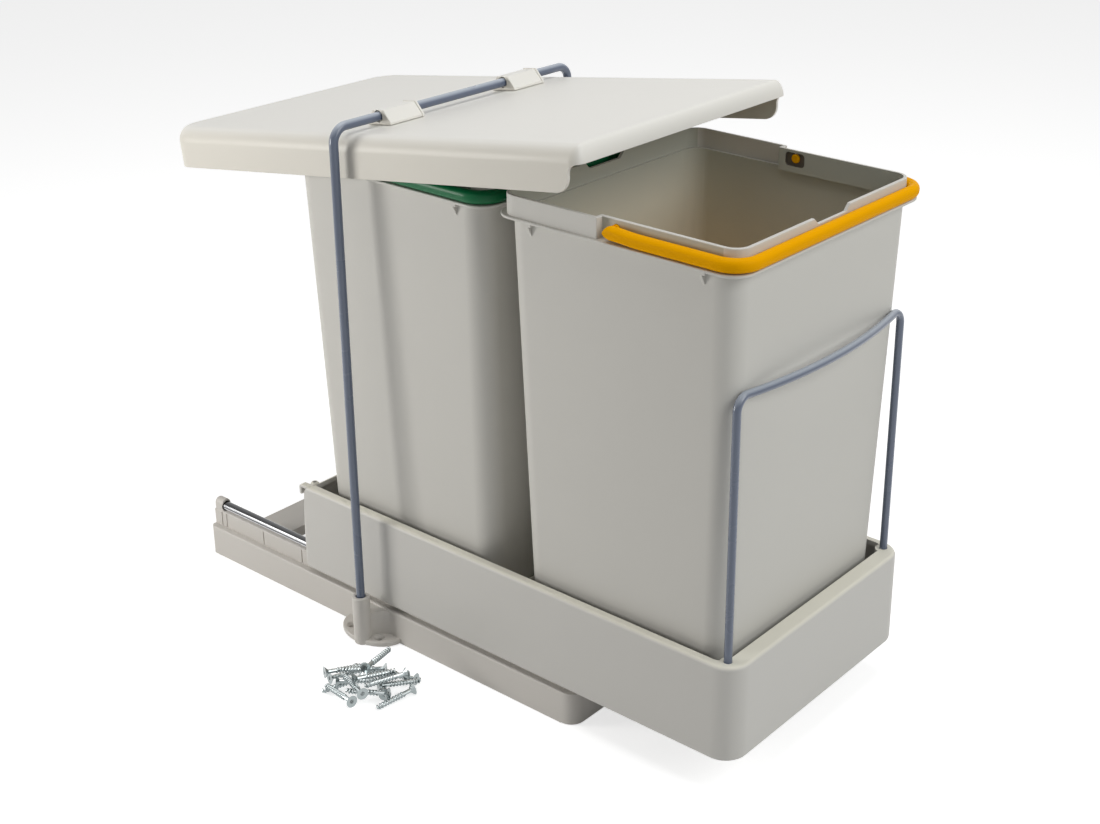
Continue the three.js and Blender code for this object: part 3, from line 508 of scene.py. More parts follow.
def makeFoot(b, f):  # the screwed flange, the curved web and the boss of one side
    side = (b["width"] - b["wall"]) / 2
    return [prism("flange", oval(f, side), 0, f["thickness"], edge=f["flangeEdge"], segments=4),
            prism("flare", sweep(f, side), 0, b["height"] - f["webDrop"], edge=b["edge"]),
            prism("boss", [(x + f["hoopX"], y) for x, y in arc(0, 0, f["boss"], 0, 348.75, 31)],
                  0, f["bossTop"], edge=1.1)]


def footCuts(f):  # the hoop's socket and the countersunk screw holes
    top, sink, hole = f["bossTop"], f["sinkRadius"], f["holeRadius"]
    socket = [(0, f["socketLow"]), (f["socket"], f["socketLow"]), (f["socket"], top - 1.4),
              (f["socketMouth"], top + past), (0, top + past)]
    over = f["thickness"] + past
    screwHole = [(0, -past), (hole, -past), (hole, f["thickness"] - sink + hole), (sink, f["thickness"]),
                 (sink, over), (0, over)]
    return (turned("socket", socket, (f["hoopX"], 0, 0), sides=28),
            [turned("hole", screwHole, (f["holeX"], y, 0), sides=28) for y in f["holeYs"]])


def slitPlaces(b):
    y = b["depth"] / 2 - b["slitFromRear"]
    places = [y + b["extraSlit"]]
    while y > -b["depth"] / 2:
        places.append(y)
        y -= b["slitPitch"]
    return places


def makeBase(b, f):
    half, front, rear = b["width"] / 2, -b["depth"] / 2, b["depth"] / 2
    wall, deck, height = b["wall"], b["plateHeight"], b["height"]
    inner = half - b["ledge"] - b["railWidth"]
    plan = prism("plan", roundedRect(-half, half, front, rear, 1, b["corner"]), -past, b["railTop"] + past)
    body = carved(makeRail(b), common=[plan])
    barRear, channelFront = front + b["frontBar"], rear - b["rearPlate"]
    nose = prism("nose", roundedRect(-half, half, front, barRear, b["frontCorner"], 1, 14), 0, height,
                 edge=b["edge"])
    hollow = roundedRect(wall - half, half - wall, front + wall, barRear - wall, b["frontCorner"] - wall, 0.5)
    channel = block("channel", -inner - wall, inner + wall, channelFront, rear, 0, deck, 0.8)
    under = block("under", -inner + 1, inner - 1, channelFront + wall, rear - wall, -past, deck - wall)
    adds = [mirrored(body), carved(nose, cuts=[prism("hollow", hollow, -past, height - wall)]),
            carved(channel, cuts=[under])]
    y = b["middlePlate"] / 2
    strips = ((-y, y, b["plateThickness"], 0), (y - wall, y, deck, 0.5), (-y, wall - y, deck, 0.5))
    for y0, y1, top, edge in strips:  # the middle plate and a rib along each of its long sides
        adds.append(block("plate", -inner - wall, inner + wall, y0, y1, 0, top, edge))
    adds += both(block("endLow", inner, half - 4, rear - wall, rear, 0, height),
                 block("endHigh", inner, half - b["ledge"], rear - wall, rear, 0, b["railTop"]),
                 makePost(b, 1), makePost(b, -1))
    adds += both(*makeFoot(b, f))
    body = carved(body, adds=adds)

    line = (b["rodX"], 0, b["rodZ"])
    end, mouthY = b["rodReach"] + b["rodGap"], rear - b["postInset"] - b["postDepth"]
    bore = bar("bore", b["rodRadius"] + b["rodGap"], -end, end, line, "y", 28)
    mouth = bar("mouth", b["rodRadius"] + b["mouthGap"], mouthY - 2, mouthY + b["mouthDepth"],
                line, "y", 28)  # a rear post opens wider round its rod
    socket, holes = footCuts(f)
    cuts = both(socket, bore, mouth, *holes)
    edge, thin = half - b["ledge"], b["slitHalf"]
    for y in slitPlaces(b):
        cuts += both(block("slit", edge - b["slitDepth"], edge + past, y - thin, y + thin, height + 0.4,
                           b["railTop"] - 0.8))
    return smoothed(carved(body, cuts=cuts))


dressed(makeBase(base, foot), "baseMoulding", "basePlastic", "base", "base_frame")

for side, sign in (("Right", 1), ("Left", -1)):
    rod = bar("rod", base["rodRadius"], -base["rodReach"], base["rodReach"],
              (sign * base["rodX"], 0, base["rodZ"]), "y", 40, base["rodChamfer"])
    dressed(smoothed(rod), "guideRod" + side, "chromedRod", "base", "rod_" + side.lower())
print("base made")


# tray with a rolled rim, leaning rear end, roller cheeks, hooks and knobs

tray = {"width": 230, "front": -359.5, "rear": 82, "bottom": 31.4, "top": 109.9, "wall": 2.5, "edge": 3.3,
        "frontCorner": 19, "rearCorner": 6, "rim": 7, "frontRim": 13.9, "rimHeight": 4, "mouthCorner": 9,
        "lean": 6, "sideRound": 8, "floor": 64.602, "floorTop": 67.102, "gateTop": 56, "ribX": 46.8,
        "ribDepth": 9, "locatorY": -137.4, "locatorGap": 16.05, "locatorHalf": 70, "locatorHeight": 5,
        "cheekX": 94.9, "cheekThickness": 2.5, "cheekReach": 9.5, "cheekLow": 35.6, "toeReach": 3.8,
        "toeThickness": 2.5, "toeYs": (19.5, 59.5), "hub": 4.5, "hubGap": (99, 109), "axleBore": 2.3,
        "column": 6.4, "socket": 3.2, "socketLow": 76, "knob": 3.6, "knobHole": 1.7, "knobX": 9.5,
        "knobY": 3.6, "hookDrop": 9, "hookReach": 7.5, "hookSpan": (7.5, 1.5), "hookThickness": 2.6}
roller = {"x": 104, "z": 56.302, "ys": (21, 58), "radius": 7.5, "half": 4.5, "groove": 4.15, "bore": 2.3,
          "edge": 0.6, "axle": 2, "axleChamfer": 0.3, "axleInset": 2.2, "axleEnd": 113.45}


def trayShell(t):
    half, front, rear = t["width"] / 2, t["front"], t["rear"]
    lowRear = rear + t["lean"]
    low, top, wall, r = t["bottom"], t["top"], t["wall"], t["sideRound"]
    shell = prism("shell", roundedRect(-half, half, front, lowRear, t["frontCorner"], t["rearCorner"], 14),
                  low, top, edge=t["edge"], segments=6)
    outline = [(front - 5, low - 5), (lowRear - r, low - 5), *arc(lowRear - r, low + r, r, -90, 0, 10),
               *arc(rear - r, top - r, r, 0, 90, 10), (rear - r, top + 5), (front - 5, top + 5)]
    side = prism("side", outline, -150, 150, "x")
    inside = roundedRect(wall - half, half - wall, front + wall, rear - wall, t["frontCorner"] - wall, 2, 10)
    mouth = roundedRect(t["rim"] - half, half - t["rim"], front + t["frontRim"], rear - t["rim"],
                        t["mouthCorner"], 2, 10)
    rimLow = top - t["rimHeight"]
    return carved(shell, common=[side], cuts=[
        prism("above", inside, t["floorTop"], rimLow), prism("mouth", mouth, rimLow - past, top + past),
        prism("below", inside, low - past, t["floor"]),
        block("gate", wall - half, half - wall, rear - wall - past, rear + 20, low - past, t["gateTop"]),
        block("clear", wall - half, half - wall, rear, rear + 20, low - past, top + past)])


def makeHook(t):
    rear, top, thick = t["rear"], t["top"] - 0.8, t["hookThickness"]
    bend = rear + t["hookReach"] - thick
    shape = [(rear - 4, top - thick), (bend, top - thick), (bend, top - t["hookDrop"]),
             (bend + thick, top - t["hookDrop"]), *arc(bend, top - thick, thick, 0, 90, 6), (rear - 4, top)]
    near, far = t["hookSpan"]
    return prism("hook", shape, t["width"] / 2 - near, t["width"] / 2 - far, "x", edge=0.5)


def makeTray(t, w):
    half, front, rear, top, wall = t["width"] / 2, t["front"], t["rear"], t["top"], t["wall"]
    floor, floorTop, x, thick = t["floor"], t["floorTop"], t["cheekX"], t["cheekThickness"]
    adds = [block("rib", s - 1, s + 1, front + 1.2, rear - 1.2, floor - t["ribDepth"], floor + 1)
            for s in (-t["ribX"], t["ribX"])]
    for y in (t["locatorY"] - t["locatorGap"], t["locatorY"] + t["locatorGap"]):
        adds.append(block("locator", -t["locatorHalf"], t["locatorHalf"], y - 1, y + 1, floorTop - 1,
                          floorTop + t["locatorHeight"], 0.4))
    y0, y1 = w["ys"][0] - t["cheekReach"], w["ys"][1] + t["cheekReach"]
    cheek = prism("cheek", roundedRect(y0, y1, t["cheekLow"], floor + 1, 4, 0.5), x - thick, x, "x")
    toeTop = t["cheekLow"] + t["toeThickness"]
    toe = block("toe", x - 1, x + t["toeReach"], *t["toeYs"], t["cheekLow"], toeTop, 0.4)
    near, far = t["hubGap"]
    hubs = [bar("hub", t["hub"], x0, x1, (0, y, w["z"]), "x", 24)
            for y in w["ys"] for x0, x1 in ((x - 1, near), (far, half - wall / 2))]
    stand, corner = (guard["offset"], guard["y"], 0), (half - t["knobX"], rear - t["knobY"], 0)
    r = t["knob"]
    knob = turned("knob", [(0, top - 3), (r, top - 3), (r, top + 0.4), (r - 1, top + 1.5), (0, top + 1.5)],
                  corner, sides=24)
    column = bar("column", t["column"], floorTop - 1, top - 0.5, stand)
    adds += both(cheek, toe, column, makeHook(t), knob, *hubs)
    bores = [bar("bore", t["axleBore"], x - 4, half - wall / 2, (0, y, w["z"]), "x", 20) for y in w["ys"]]
    cuts = both(bar("socket", t["socket"], t["socketLow"], top + past, stand, sides=28),
                bar("knobHole", t["knobHole"], top - 2.5, top + 2, corner, sides=20), *bores)
    shell = carved(trayShell(t), adds=adds)
    return smoothed(carved(shell, cuts=cuts))


dressed(makeTray(tray, roller), "trayMoulding", "trayPlastic", "tray", "tray_frame")


def rollerProfile(w):  # the groove is a circle's arc that fits the rod
    radius, half, groove, edge = w["radius"], w["half"], w["groove"], w["edge"]
    depth = groove - math.sqrt(groove ** 2 - (groove - 1) ** 2)
    reach = math.sqrt(groove ** 2 - (groove - depth) ** 2)
    rows = [(w["bore"], -half), (radius - edge, -half), (radius, edge - half)]
    for i in range(9):
        h = reach * (i / 4 - 1)
        rows.append((radius - math.sqrt(groove ** 2 - h ** 2) + groove - depth, h))
    return rows + [(radius, half - edge), (radius - edge, half), (w["bore"], half)]


for side, sign in (("Right", 1), ("Left", -1)):
    for end, y in zip(("Front", "Rear"), roller["ys"]):
        label = end.lower() + "_" + side.lower()
        wheel = turned("wheel", rollerProfile(roller), (sign * roller["x"], y, roller["z"]), "x", 40, True)
        dressed(smoothed(wheel), "roller" + end + side, "nylonWhite", "roller_" + label, "roller_" + label)
        x0, x1 = sorted((sign * (tray["cheekX"] - roller["axleInset"]), sign * roller["axleEnd"]))
        pin = bar("pin", roller["axle"], x0, x1, (0, y, roller["z"]), "x", 24, roller["axleChamfer"])
        dressed(smoothed(pin), "axle" + end + side, "platedSteel", "tray", "axle_" + label)
print("tray made")


# the two bins, each with a flange, a collar, notches and tabs

binSizes = {"bottomHalfX": 100.3, "topHalfX": 110.4, "bottomHalfY": 91.7, "topHalfY": 98.4, "corner": 17,
            "wall": 2.2, "floor": 2.5, "bottom": 67.402, "baseRound": 5, "flangeX": 115.6, "flangeY": 105.75,
            "flangeTop": 397.9, "flangeDepth": 2.2, "flangeCorner": 16, "flangeEdge": 0.8, "collarTop": 413,
            "collarX": 107.4, "collarRearX": 113.2, "collarFront": 99.85, "collarRear": 100.35,
            "collarCorner": 13, "collarWall": 2.4, "collarStep": 12.3, "collarEdge": 0.6, "tabY": 74,
            "tabReach": 4.4, "tabHalf": 4, "finHalf": 1.1, "finDepth": 10, "notchDepth": 4.9,
            "notchHalf": 17.4, "recessHalf": 8.5, "recessLow": 400.4, "recessDepth": 1.9, "pivotZ": 406.4,
            "pinHole": 3.5, "middles": (-247.15, -27.65)}


def binShell(s, inset, bottom, top, middle, name):
    corner, turn = s["corner"] - inset, s["baseRound"] - inset
    angles = [math.radians(a) for a in range(0, 91, 15)]
    levels = [(bottom + turn * (1 - math.cos(a)), turn * (1 - math.sin(a))) for a in angles] + [(top, 0)]
    rings = []
    for z, draw in levels:
        rate = (z - s["bottom"]) / (s["flangeTop"] - s["bottom"])
        x = s["bottomHalfX"] + rate * (s["topHalfX"] - s["bottomHalfX"]) - inset - draw
        y = s["bottomHalfY"] + rate * (s["topHalfY"] - s["bottomHalfY"]) - inset - draw
        rings.append([(u, v + middle, z) for u, v in roundedRect(-x, x, -y, y, corner - draw, steps=12)])
    return skin(name, rings)


def collarPair(s, inset, z0, z1, middle, edge=0.0):  # the narrow front part and the wide rear part
    front, rear, corner = s["collarX"] - inset, s["collarRearX"] - inset, s["collarCorner"] - inset
    back = s["collarRear"] - inset
    narrow = roundedRect(-front, front, inset - s["collarFront"], back, corner, corner, 10)
    wide = roundedRect(-rear, rear, s["collarStep"] + inset, back, 1, corner, 10)
    return [prism("collar", shifted(shape, 0, middle), z0, z1, edge=edge) for shape in (narrow, wide)]


def makeTabs(s, y, low):  # a fin and its head below the flange, on both sides
    inner, outer = s["topHalfX"] - 1.5, s["topHalfX"] + s["tabReach"]
    fin = [(inner, low + 0.5), (inner, low - s["finDepth"]), (s["topHalfX"] - 0.2, low - s["finDepth"]),
           (outer, low - 1), (outer, low + 0.5)]
    return both(prism("fin", fin, y - s["finHalf"], y + s["finHalf"], "y"),
                block("head", inner, outer, y - s["tabHalf"], y + s["tabHalf"], low - 2, low + 0.5))


def binCuts(s, middle, low):
    wall, floor, flange, top = s["collarWall"], s["bottom"] + s["floor"], s["flangeTop"], s["collarTop"]
    wide, narrow = collarPair(s, wall, low - 0.5, flange + 0.5, middle)
    throat = carved(binShell(s, s["wall"], floor, flange + 0.5, middle, "throat"),
                    common=[carved(wide, adds=[narrow])])
    cuts = [binShell(s, s["wall"], floor, low, middle, "inside"), throat,
            *collarPair(s, wall, flange, top + past, middle)]
    inner, outer, dip = s["notchHalf"], s["notchHalf"] + s["notchDepth"], top - s["notchDepth"]
    shape = [(-inner, dip), (inner, dip), (outer, top), (outer, top + past), (-outer, top + past),
             (-outer, top)]
    near, far = -s["collarFront"], s["collarRear"]
    for y0, y1 in ((near - past, near + 4), (far - 4, far + past)):
        cuts.append(prism("notch", shape, middle + y0, middle + y1, "y"))
    face, half = s["collarX"] - wall, s["recessHalf"]
    recess = roundedRect(middle - half, middle + half, s["recessLow"], top - 2, 3)
    pivot = (0, middle, s["pivotZ"])
    pinHole = bar("pinHole", s["pinHole"], face - past, s["collarX"] + past, pivot, "x", 24)
    return cuts + both(prism("recess", recess, face - past, face + s["recessDepth"], "x"), pinHole)


def makeBin(s, middle):
    low = s["flangeTop"] - s["flangeDepth"]
    halfX, halfY = s["flangeX"], s["flangeY"]
    flange = roundedRect(-halfX, halfX, -halfY, halfY, s["flangeCorner"], steps=12)
    adds = [prism("flange", shifted(flange, 0, middle), low, s["flangeTop"], edge=s["flangeEdge"]),
            *collarPair(s, 0, low, s["collarTop"], middle, s["collarEdge"])]
    for y in (-s["tabY"], s["tabY"]):
        adds += makeTabs(s, middle + y, low)
    body = carved(binShell(s, 0, s["bottom"], s["flangeTop"] - 0.5, middle, "bin"), adds=adds)
    return smoothed(carved(body, cuts=binCuts(s, middle, low)))


def markInside(obj, middle, s):  # for the material's painted warm light and shade, 1 on the faces that line the bin and 2 in a recess
    mask = obj.data.attributes.new("inside", "FLOAT", "CORNER")
    for face in obj.data.polygons:
        x, y = face.center.x, face.center.y - middle * mm
        inward = -(face.normal.x * x + face.normal.y * y) / max(math.hypot(x, y), 0.001) > 0.3
        floor = face.normal.z > 0.3 and face.center.z < (s["bottom"] + 12) * mm
        recess = (abs(y) < (s["recessHalf"] + 1.7) * mm and face.center.z > (s["recessLow"] - 1.4) * mm
                  and abs(x) > (s["collarX"] - s["collarWall"] + 0.2) * mm)
        if (inward or floor or recess) and abs(x) < (s["topHalfX"] - 1.6) * mm:
            for i in face.loop_indices:
                mask.data[i].value = 2 if recess and abs(x) < (s["collarX"] - 0.1) * mm else 1


for place, middle in zip(("front", "rear"), binSizes["middles"]):
    container = makeBin(binSizes, middle)
    markInside(container, middle, binSizes)
    dressed(container, place + "BinShell", "binPlastic", "tray", place + "_bin")
print("bins made")


# bail handles: a rounded bar round the collar's front, with a pin at each end

handle = {"height": 10, "thickness": 9.2, "frontThickness": 8.6, "round": 4.4, "inner": 108.2,
          "innerFront": -100.25, "innerRound": 13.4, "outerRound": 21.6, "pivotZ": 406.4, "drop": 2.8,
          "endShare": 0.4, "endLength": 24, "squeeze": 0.04, "pin": 3.2, "head": 3.5, "headDepth": 1.6,
          "headEdge": 0.8, "face": 106.6}


def sectionRing(inner, outer, height, turn, z, steps=5):  # a rounded oblong between two plan points
    width = (outer - inner).length
    across = (outer - inner).normalized()
    half = height / 2
    r = min(turn, half * 0.98, width / 2 * 0.98)
    shape = (arc(width - r, -half + r, r, -90, 0, steps) + arc(width - r, half - r, r, 0, 90, steps)
             + arc(r, half - r, r, 90, 180, steps) + arc(r, -half + r, r, 180, 270, steps))
    return [(inner.x + across.x * u, inner.y + across.y * u, z + v) for u, v in shape]


def makeHandle(h, middle):
    inner, front = h["inner"], h["innerFront"]
    outer, outerFront = inner + h["thickness"], front - h["frontThickness"]
    inRound, outRound = h["innerRound"], h["outerRound"]
    rings = []

    def station(a, b, scale=1.0, squeeze=0.0):  # the bail hangs a little below its pivots
        t = min(max(1 + a[1] / h["endLength"], 0), 1)
        z = h["pivotZ"] - h["drop"] * (1 - h["endShare"] * t * t * (3 - 2 * t))
        a, b = Vector((*a, 0)), Vector((*b, 0))
        step = (b - a) * squeeze
        rings.append(sectionRing(a + step, b - step, h["height"] * scale, h["round"] * scale, z))

    def roundEnd(side, angles):
        for a in map(math.radians, angles):
            y = h["height"] / 2 * math.sin(a)
            station((side * inner, y), (side * outer, y), math.cos(a), h["squeeze"])

    def arm(side, places):
        for i in places:
            y = (front + inRound) * i / 24
            station((side * inner, y), (side * outer, y))

    roundEnd(-1, range(84, -1, -12))
    arm(-1, range(1, 24))
    inArc = arc(-inner + inRound, front + inRound, inRound, 180, 270, 12)
    outArc = arc(-outer + outRound, outerFront + outRound, outRound, 180, 270, 12)
    for a, b in zip(inArc, outArc):
        station(a, b)
    for i in range(1, 8):
        x = (inner - inRound) * (i / 4 - 1)
        station((x, front), (x, outerFront))
    for a, b in zip(inArc[::-1], outArc[::-1]):
        station((-a[0], a[1]), (-b[0], b[1]))
    arm(1, range(23, 0, -1))
    roundEnd(1, range(0, 85, 12))
    body = skin("bail", [[(x, y + middle, z) for x, y, z in ring] for ring in rings])
    face, head, edge, start = h["face"], h["head"], h["headEdge"], h["face"] - h["headDepth"]
    profile = [(0, start), (head - edge, start), (head, start + edge), (head, face), (h["pin"], face),
               (h["pin"], inner + 1), (0, inner + 1)]
    pin = turned("pin", profile, (0, middle, h["pivotZ"]), "x", 28)
    return smoothed(carved(body, adds=both(pin)), 40)


for place, middle, colour in zip(("front", "rear"), binSizes["middles"], ("yellow", "green")):
    dressed(makeHandle(handle, middle), place + "BailHandle", colour + "Handle", place + "_handle",
            place + "_handle")
print("handles made")


# lid: made level about the hoop's bar, then tilted to where it rests

lid = {"halfX": 123.1, "front": 226.5, "rear": 217.5, "thickness": 2.4, "top": 6.9, "skirt": 39, "lip": 20,
       "frontCorner": 9, "rearCorner": 26, "setback": 10, "skirtRound": 12, "lipFillet": 7, "tilt": 8.47,
       "shoulderDrop": 12.6, "shoulderWidth": 11, "frontShare": 0.5, "edge": 0.7}
clip = {"halfLength": 17.5, "offset": 68.5, "halfDepth": 12.5, "base": 0.3, "side": 2, "top": 5, "cover": 2.5,
        "edge": 1, "ridge": 0.6, "ridgeLift": 0.5, "ridgeWidth": 2, "gap": 0.3}


def tilted(obj):
    turn = Matrix.Rotation(math.radians(-lid["tilt"]), 4, "X")
    obj.data.transform(Matrix.Translation((0, 0, hoop["top"] * mm)) @ turn)
    return obj


def lidSkin(s, inset, name):
    rows = [(0, -s["skirt"] - inset * 2)]
    for a in range(0, 91, 9):  # the soft roll from the skirt to the top
        a = math.radians(a)
        drop = s["shoulderDrop"] * (1 - math.sin(a))
        rows.append((s["shoulderWidth"] * (1 - math.cos(a)), -s["top"] - drop))
    rings = []
    for draw, z in rows:
        d = draw + inset
        front = draw * s["frontShare"] + inset - s["front"]
        shape = roundedRect(d - s["halfX"], s["halfX"] - d, front, s["rear"] - d,
                            max(s["frontCorner"] - d, 1.5), max(s["rearCorner"] - d, 1.5), 12)
        rings.append([(x, y, z - inset) for x, y in shape])
    return skin(name, rings)


def lipCut(s):  # leaves a shallow lip at the front and full skirts at the sides
    edge, beyond, r = s["setback"] - s["front"], -s["front"] - 30, s["lipFillet"]
    shape = [(beyond, -s["lip"]), (edge - r, -s["lip"]), *arc(edge - r, -s["lip"] - r, r, 90, 0, 8),
             *arc(edge + s["skirtRound"], s["skirtRound"] - s["skirt"], s["skirtRound"], 180, 270, 10),
             (edge + s["skirtRound"], -s["skirt"] - 30), (beyond, -s["skirt"] - 30)]
    return prism("lipCut", shape, -s["halfX"] - past, s["halfX"] + past, "x")


def makeLid(s):
    shell = carved(lidSkin(s, 0, "lid"), cuts=[lidSkin(s, s["thickness"], "lidInside"), lipCut(s)])
    return tilted(smoothed(edged(shell, s["edge"], sharper=60)))


dressed(makeLid(lid), "lidPanel", "lidPlastic", "lid", "lid_shell")


def makeClip(s, middle):
    low, half, r = s["base"] - lid["top"], s["halfDepth"], hoop["radius"]
    x0, x1 = middle - s["halfLength"], middle + s["halfLength"]

    def outline(wider=0.0, lift=0.0):
        side, top, shoulder = half + wider, s["top"] + wider, low + s["side"] + lift
        cover = r + s["cover"] + lift
        return [(-side, low), (side, low), (side, shoulder), (cover, top), (-cover, top), (-side, shoulder)]

    body = prism("clip", outline(), x0, x1, "x", edge=s["edge"])
    ridge = prism("ridge", outline(s["ridge"], s["ridgeLift"]), x1 - s["ridgeWidth"], x1, "x", edge=0.4)
    bore = r + s["gap"]  # snug in the middle, wider at both mouths
    profile = [(0, x0 - past), (r + 1.2, x0 - past), (r + 1.1, x0 + 2), (bore, x0 + 2), (bore, x1 - 1.2),
               (r + 0.9, x1 + past), (0, x1 + past)]
    return smoothed(carved(body, adds=[ridge], cuts=[turned("bore", profile, (0, 0, 0), "x", 28)]))


for side, middle in (("right", clip["offset"]), ("left", -clip["offset"])):
    dressed(tilted(makeClip(clip, middle)), side + "LidClip", "lidPlastic", "lid", "lid_clip_" + side)
print("lid made")


# loose screws: one tree makes a screw and puts it on each place taken from the frame

screw = {"length": 35, "core": 1.8, "thread": 2.6, "head": 4.9, "headDepth": 3, "tip": 6, "threadStart": 9,
         "threadEnd": 0.8, "ridge": 0.85, "ridgeInset": 0.83, "turns": 10}
cross = {"length": 5.6, "width": 1.2, "height": 3.4}


def makeScrewTree(sizes, c):
    tree, add, size = geometryTree("looseScrews", [(key, "Float", value) for key, value in sizes.items()])

    def maths(operation, a, b):
        return add("ShaderNodeMath", {0: a, 1: b}, operation=operation).outputs[0]

    def less(*keys):  # the first size less the others
        left = size[keys[0]]
        for key in keys[1:]:
            left = maths("SUBTRACT", left, size[key])
        return left

    def lifted(geometry, height):  # moves a part along the screw's axis
        shift = add("ShaderNodeCombineXYZ", {"Z": height})
        moved = add("GeometryNodeTransform", {"Geometry": geometry, "Translation": shift.outputs[0]})
        return moved.outputs[0]

    def joined(parts):
        join = add("GeometryNodeJoinGeometry")
        for part in parts:
            tree.links.new(part, join.inputs[0])
        return join.outputs[0]

    straight = less("length", "tip")
    shank = add("GeometryNodeMeshCylinder", {"Vertices": 16, "Radius": size["core"], "Depth": straight})
    tip = add("GeometryNodeMeshCone", {"Vertices": 16, "Radius Bottom": size["core"], "Depth": size["tip"]})
    head = add("GeometryNodeMeshCone", {"Vertices": 28, "Radius Bottom": size["head"],
                                        "Radius Top": size["core"], "Depth": size["headDepth"]})
    bars = [add("GeometryNodeMeshCube", {"Size": (wide * mm, deep * mm, c["height"] * mm)}).outputs["Mesh"]
            for wide, deep in ((c["length"], c["width"]), (c["width"], c["length"]))]
    recess = add("GeometryNodeMeshBoolean", {"Mesh 1": head.outputs["Mesh"], "Mesh 2": joined(bars)},
                 operation="DIFFERENCE")
    spiral = add("GeometryNodeCurveSpiral", {
        "Resolution": 14, "Rotations": size["turns"], "Start Radius": less("thread", "ridgeInset"),
        "End Radius": maths("MULTIPLY", size["thread"], 0.62),
        "Height": less("length", "threadStart", "threadEnd")})
    ridge = add("GeometryNodeCurvePrimitiveCircle", {"Resolution": 4, "Radius": size["ridge"]})
    thread = add("GeometryNodeCurveToMesh", {"Curve": spiral.outputs["Curve"],
                                             "Profile Curve": ridge.outputs["Curve"]})
    whole = joined([lifted(shank.outputs["Mesh"], maths("MULTIPLY", straight, 0.5)),
                    lifted(tip.outputs["Mesh"], straight), recess.outputs[0],
                    lifted(thread.outputs["Mesh"], size["threadStart"])])
    turn = add("GeometryNodeInputNamedAttribute", {"Name": "turn"}, data_type="FLOAT_VECTOR")
    place = add("GeometryNodeInstanceOnPoints", {"Points": size["Geometry"], "Instance": whole,
                                                 "Rotation": turn.outputs["Attribute"]})
    closeTree(add, size, place.outputs["Instances"])
    return tree


def screwPlace(name):  # the head's middle and the axis of a screw of the frame
    points = [v.co.copy() for v in cadNodes[name].data.vertices]
    middle = sum(points, Vector()) / len(points)
    tip = max(points, key=lambda p: (p - middle).length)
    reach = max((p - tip).length for p in points)
    rim = [p for p in points if (p - tip).length > reach - 0.2 * mm]
    head = sum(rim, Vector()) / len(rim)
    return head, (tip - head).normalized()


screwNames = sorted(n for n in cadNodes if n.startswith("mounting_screw_"))
places = [screwPlace(n) for n in screwNames]
spots = bpy.data.meshes.new("looseScrews")
spots.from_pydata([tuple(head) for head, axis in places], [], [])
turns = spots.attributes.new("turn", "FLOAT_VECTOR", "POINT")
for i, (head, axis) in enumerate(places):
    turns.data[i].vector = axis.to_track_quat("Z", "Y").to_euler()
screwSizes = {key: value if key == "turns" else value * mm for key, value in screw.items()}
screws = grown(linked("looseScrews", spots), makeScrewTree(screwSizes, cross),
               {**screwSizes, "Material": paint["platedSteel"]})
dressed(screws, "looseScrews", "platedSteel", "base", *screwNames)
print("screws placed,", len(places))


# floor, light and camera, in metres

stage = {"floorHalf": 6, "floorZ": -0.0004, "floorGlow": 0.68, "floorGrey": 0.72, "ambient": 0.2}
aim = (0, -0.1, 0.22)
# place, side of the square, watts and tint
lamps = {"side": ((-0.9, 0.76, 0.42), 0.4, 6.9, (1, 0.985, 0.955)),
         "over": ((0.1, -0.1, 1.9), 1.3, 12.5, (1, 1, 1)),
         "front": ((0.15, -1.9, 1.4), 1.3, 19, (0.985, 1, 0.99))}
shot = {"place": (-0.9421, -0.9218, 0.7704), "azimuth": -51.14, "elevation": 22.70, "roll": 0.37,
        "lens": 55.94, "sensor": 36, "shiftX": -0.0621, "shiftY": -0.0588}


def larger(add, a, b):
    return add("ShaderNodeMath", {0: a, 1: b}, operation="MAXIMUM").outputs[0]


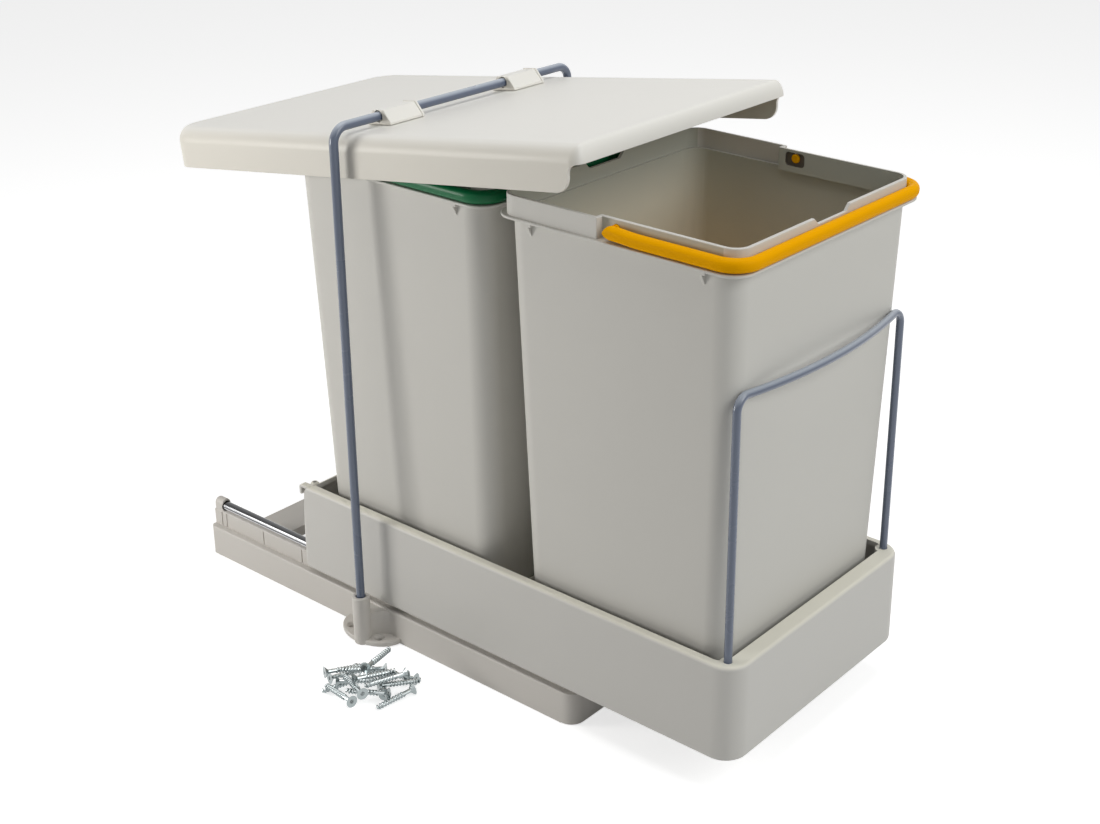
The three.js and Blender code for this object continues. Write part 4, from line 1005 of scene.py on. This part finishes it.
def makeFloor(s):  # glows where it is seen or mirrored, so it stays as pale as paper
    half, z, grey = s["floorHalf"], s["floorZ"], s["floorGrey"]
    mesh = bpy.data.meshes.new("floor")
    mesh.from_pydata([(-half, -half, z), (half, -half, z), (half, half, z), (-half, half, z)], [],
                     [(0, 1, 2, 3)])
    material = bpy.data.materials.new("palePaper")
    material.use_nodes = True
    material.node_tree.nodes.clear()
    add = adder(material.node_tree)
    rays = add("ShaderNodeLightPath").outputs
    glow = add("ShaderNodeEmission", {"Strength": s["floorGlow"]}).outputs[0]
    matt = add("ShaderNodeBsdfDiffuse", {"Color": (grey, grey, grey, 1)}).outputs[0]
    lit = add("ShaderNodeAddShader", {0: glow, 1: matt}).outputs[0]
    seen = larger(add, rays["Is Camera Ray"], rays["Is Glossy Ray"])
    mix = add("ShaderNodeMixShader", {"Fac": seen, 1: matt, 2: lit})
    add("ShaderNodeOutputMaterial", {"Surface": mix.outputs[0]})
    mesh.materials.append(material)
    linked("floor", mesh)


def makeWorld(s):  # white where it is seen or mirrored, and dim as a light
    world = bpy.data.worlds.new("studio")
    scene.world = world
    world.use_nodes = True
    world.node_tree.nodes.clear()
    add = adder(world.node_tree)
    rays = add("ShaderNodeLightPath").outputs
    seen = larger(add, larger(add, rays["Is Camera Ray"], rays["Is Glossy Ray"]), rays["Is Transmission Ray"])
    dim, white = (add("ShaderNodeBackground", {"Color": (1, 1, 1, 1), "Strength": strength}).outputs[0]
                  for strength in (s["ambient"], 1))
    mix = add("ShaderNodeMixShader", {"Fac": seen, 1: dim, 2: white})
    add("ShaderNodeOutputWorld", {"Surface": mix.outputs[0]})


def areaLight(name, place, size, power, tint):
    lamp = bpy.data.lights.new(name, "AREA")
    lamp.size, lamp.color, lamp.energy = size, tint, power
    obj = linked(name, lamp)
    obj.location = place
    obj.rotation_euler = (Vector(aim) - Vector(place)).to_track_quat("-Z", "Y").to_euler()


def makeCamera(s):
    a, e, r = (math.radians(s[k]) for k in ("azimuth", "elevation", "roll"))
    back = Vector((math.sin(a) * math.cos(e), -math.cos(a) * math.cos(e), math.sin(e)))
    right = (-back).cross(Vector((0, 0, 1))).normalized()
    up = right.cross(-back)
    right, up = right * math.cos(r) + up * math.sin(r), -right * math.sin(r) + up * math.cos(r)
    camera = linked("camera", bpy.data.cameras.new("camera"))
    camera.data.lens, camera.data.sensor_width = s["lens"], s["sensor"]
    camera.data.shift_x, camera.data.shift_y = s["shiftX"], s["shiftY"]
    camera.matrix_world = Matrix.Translation(s["place"]) @ Matrix((right, up, back)).transposed().to_4x4()
    scene.camera = camera


makeFloor(stage)
makeWorld(stage)
for name, settings in lamps.items():
    areaLight(name + "Light", *settings)
makeCamera(shot)
scene.view_settings.view_transform = "Standard"
print("stage lit")
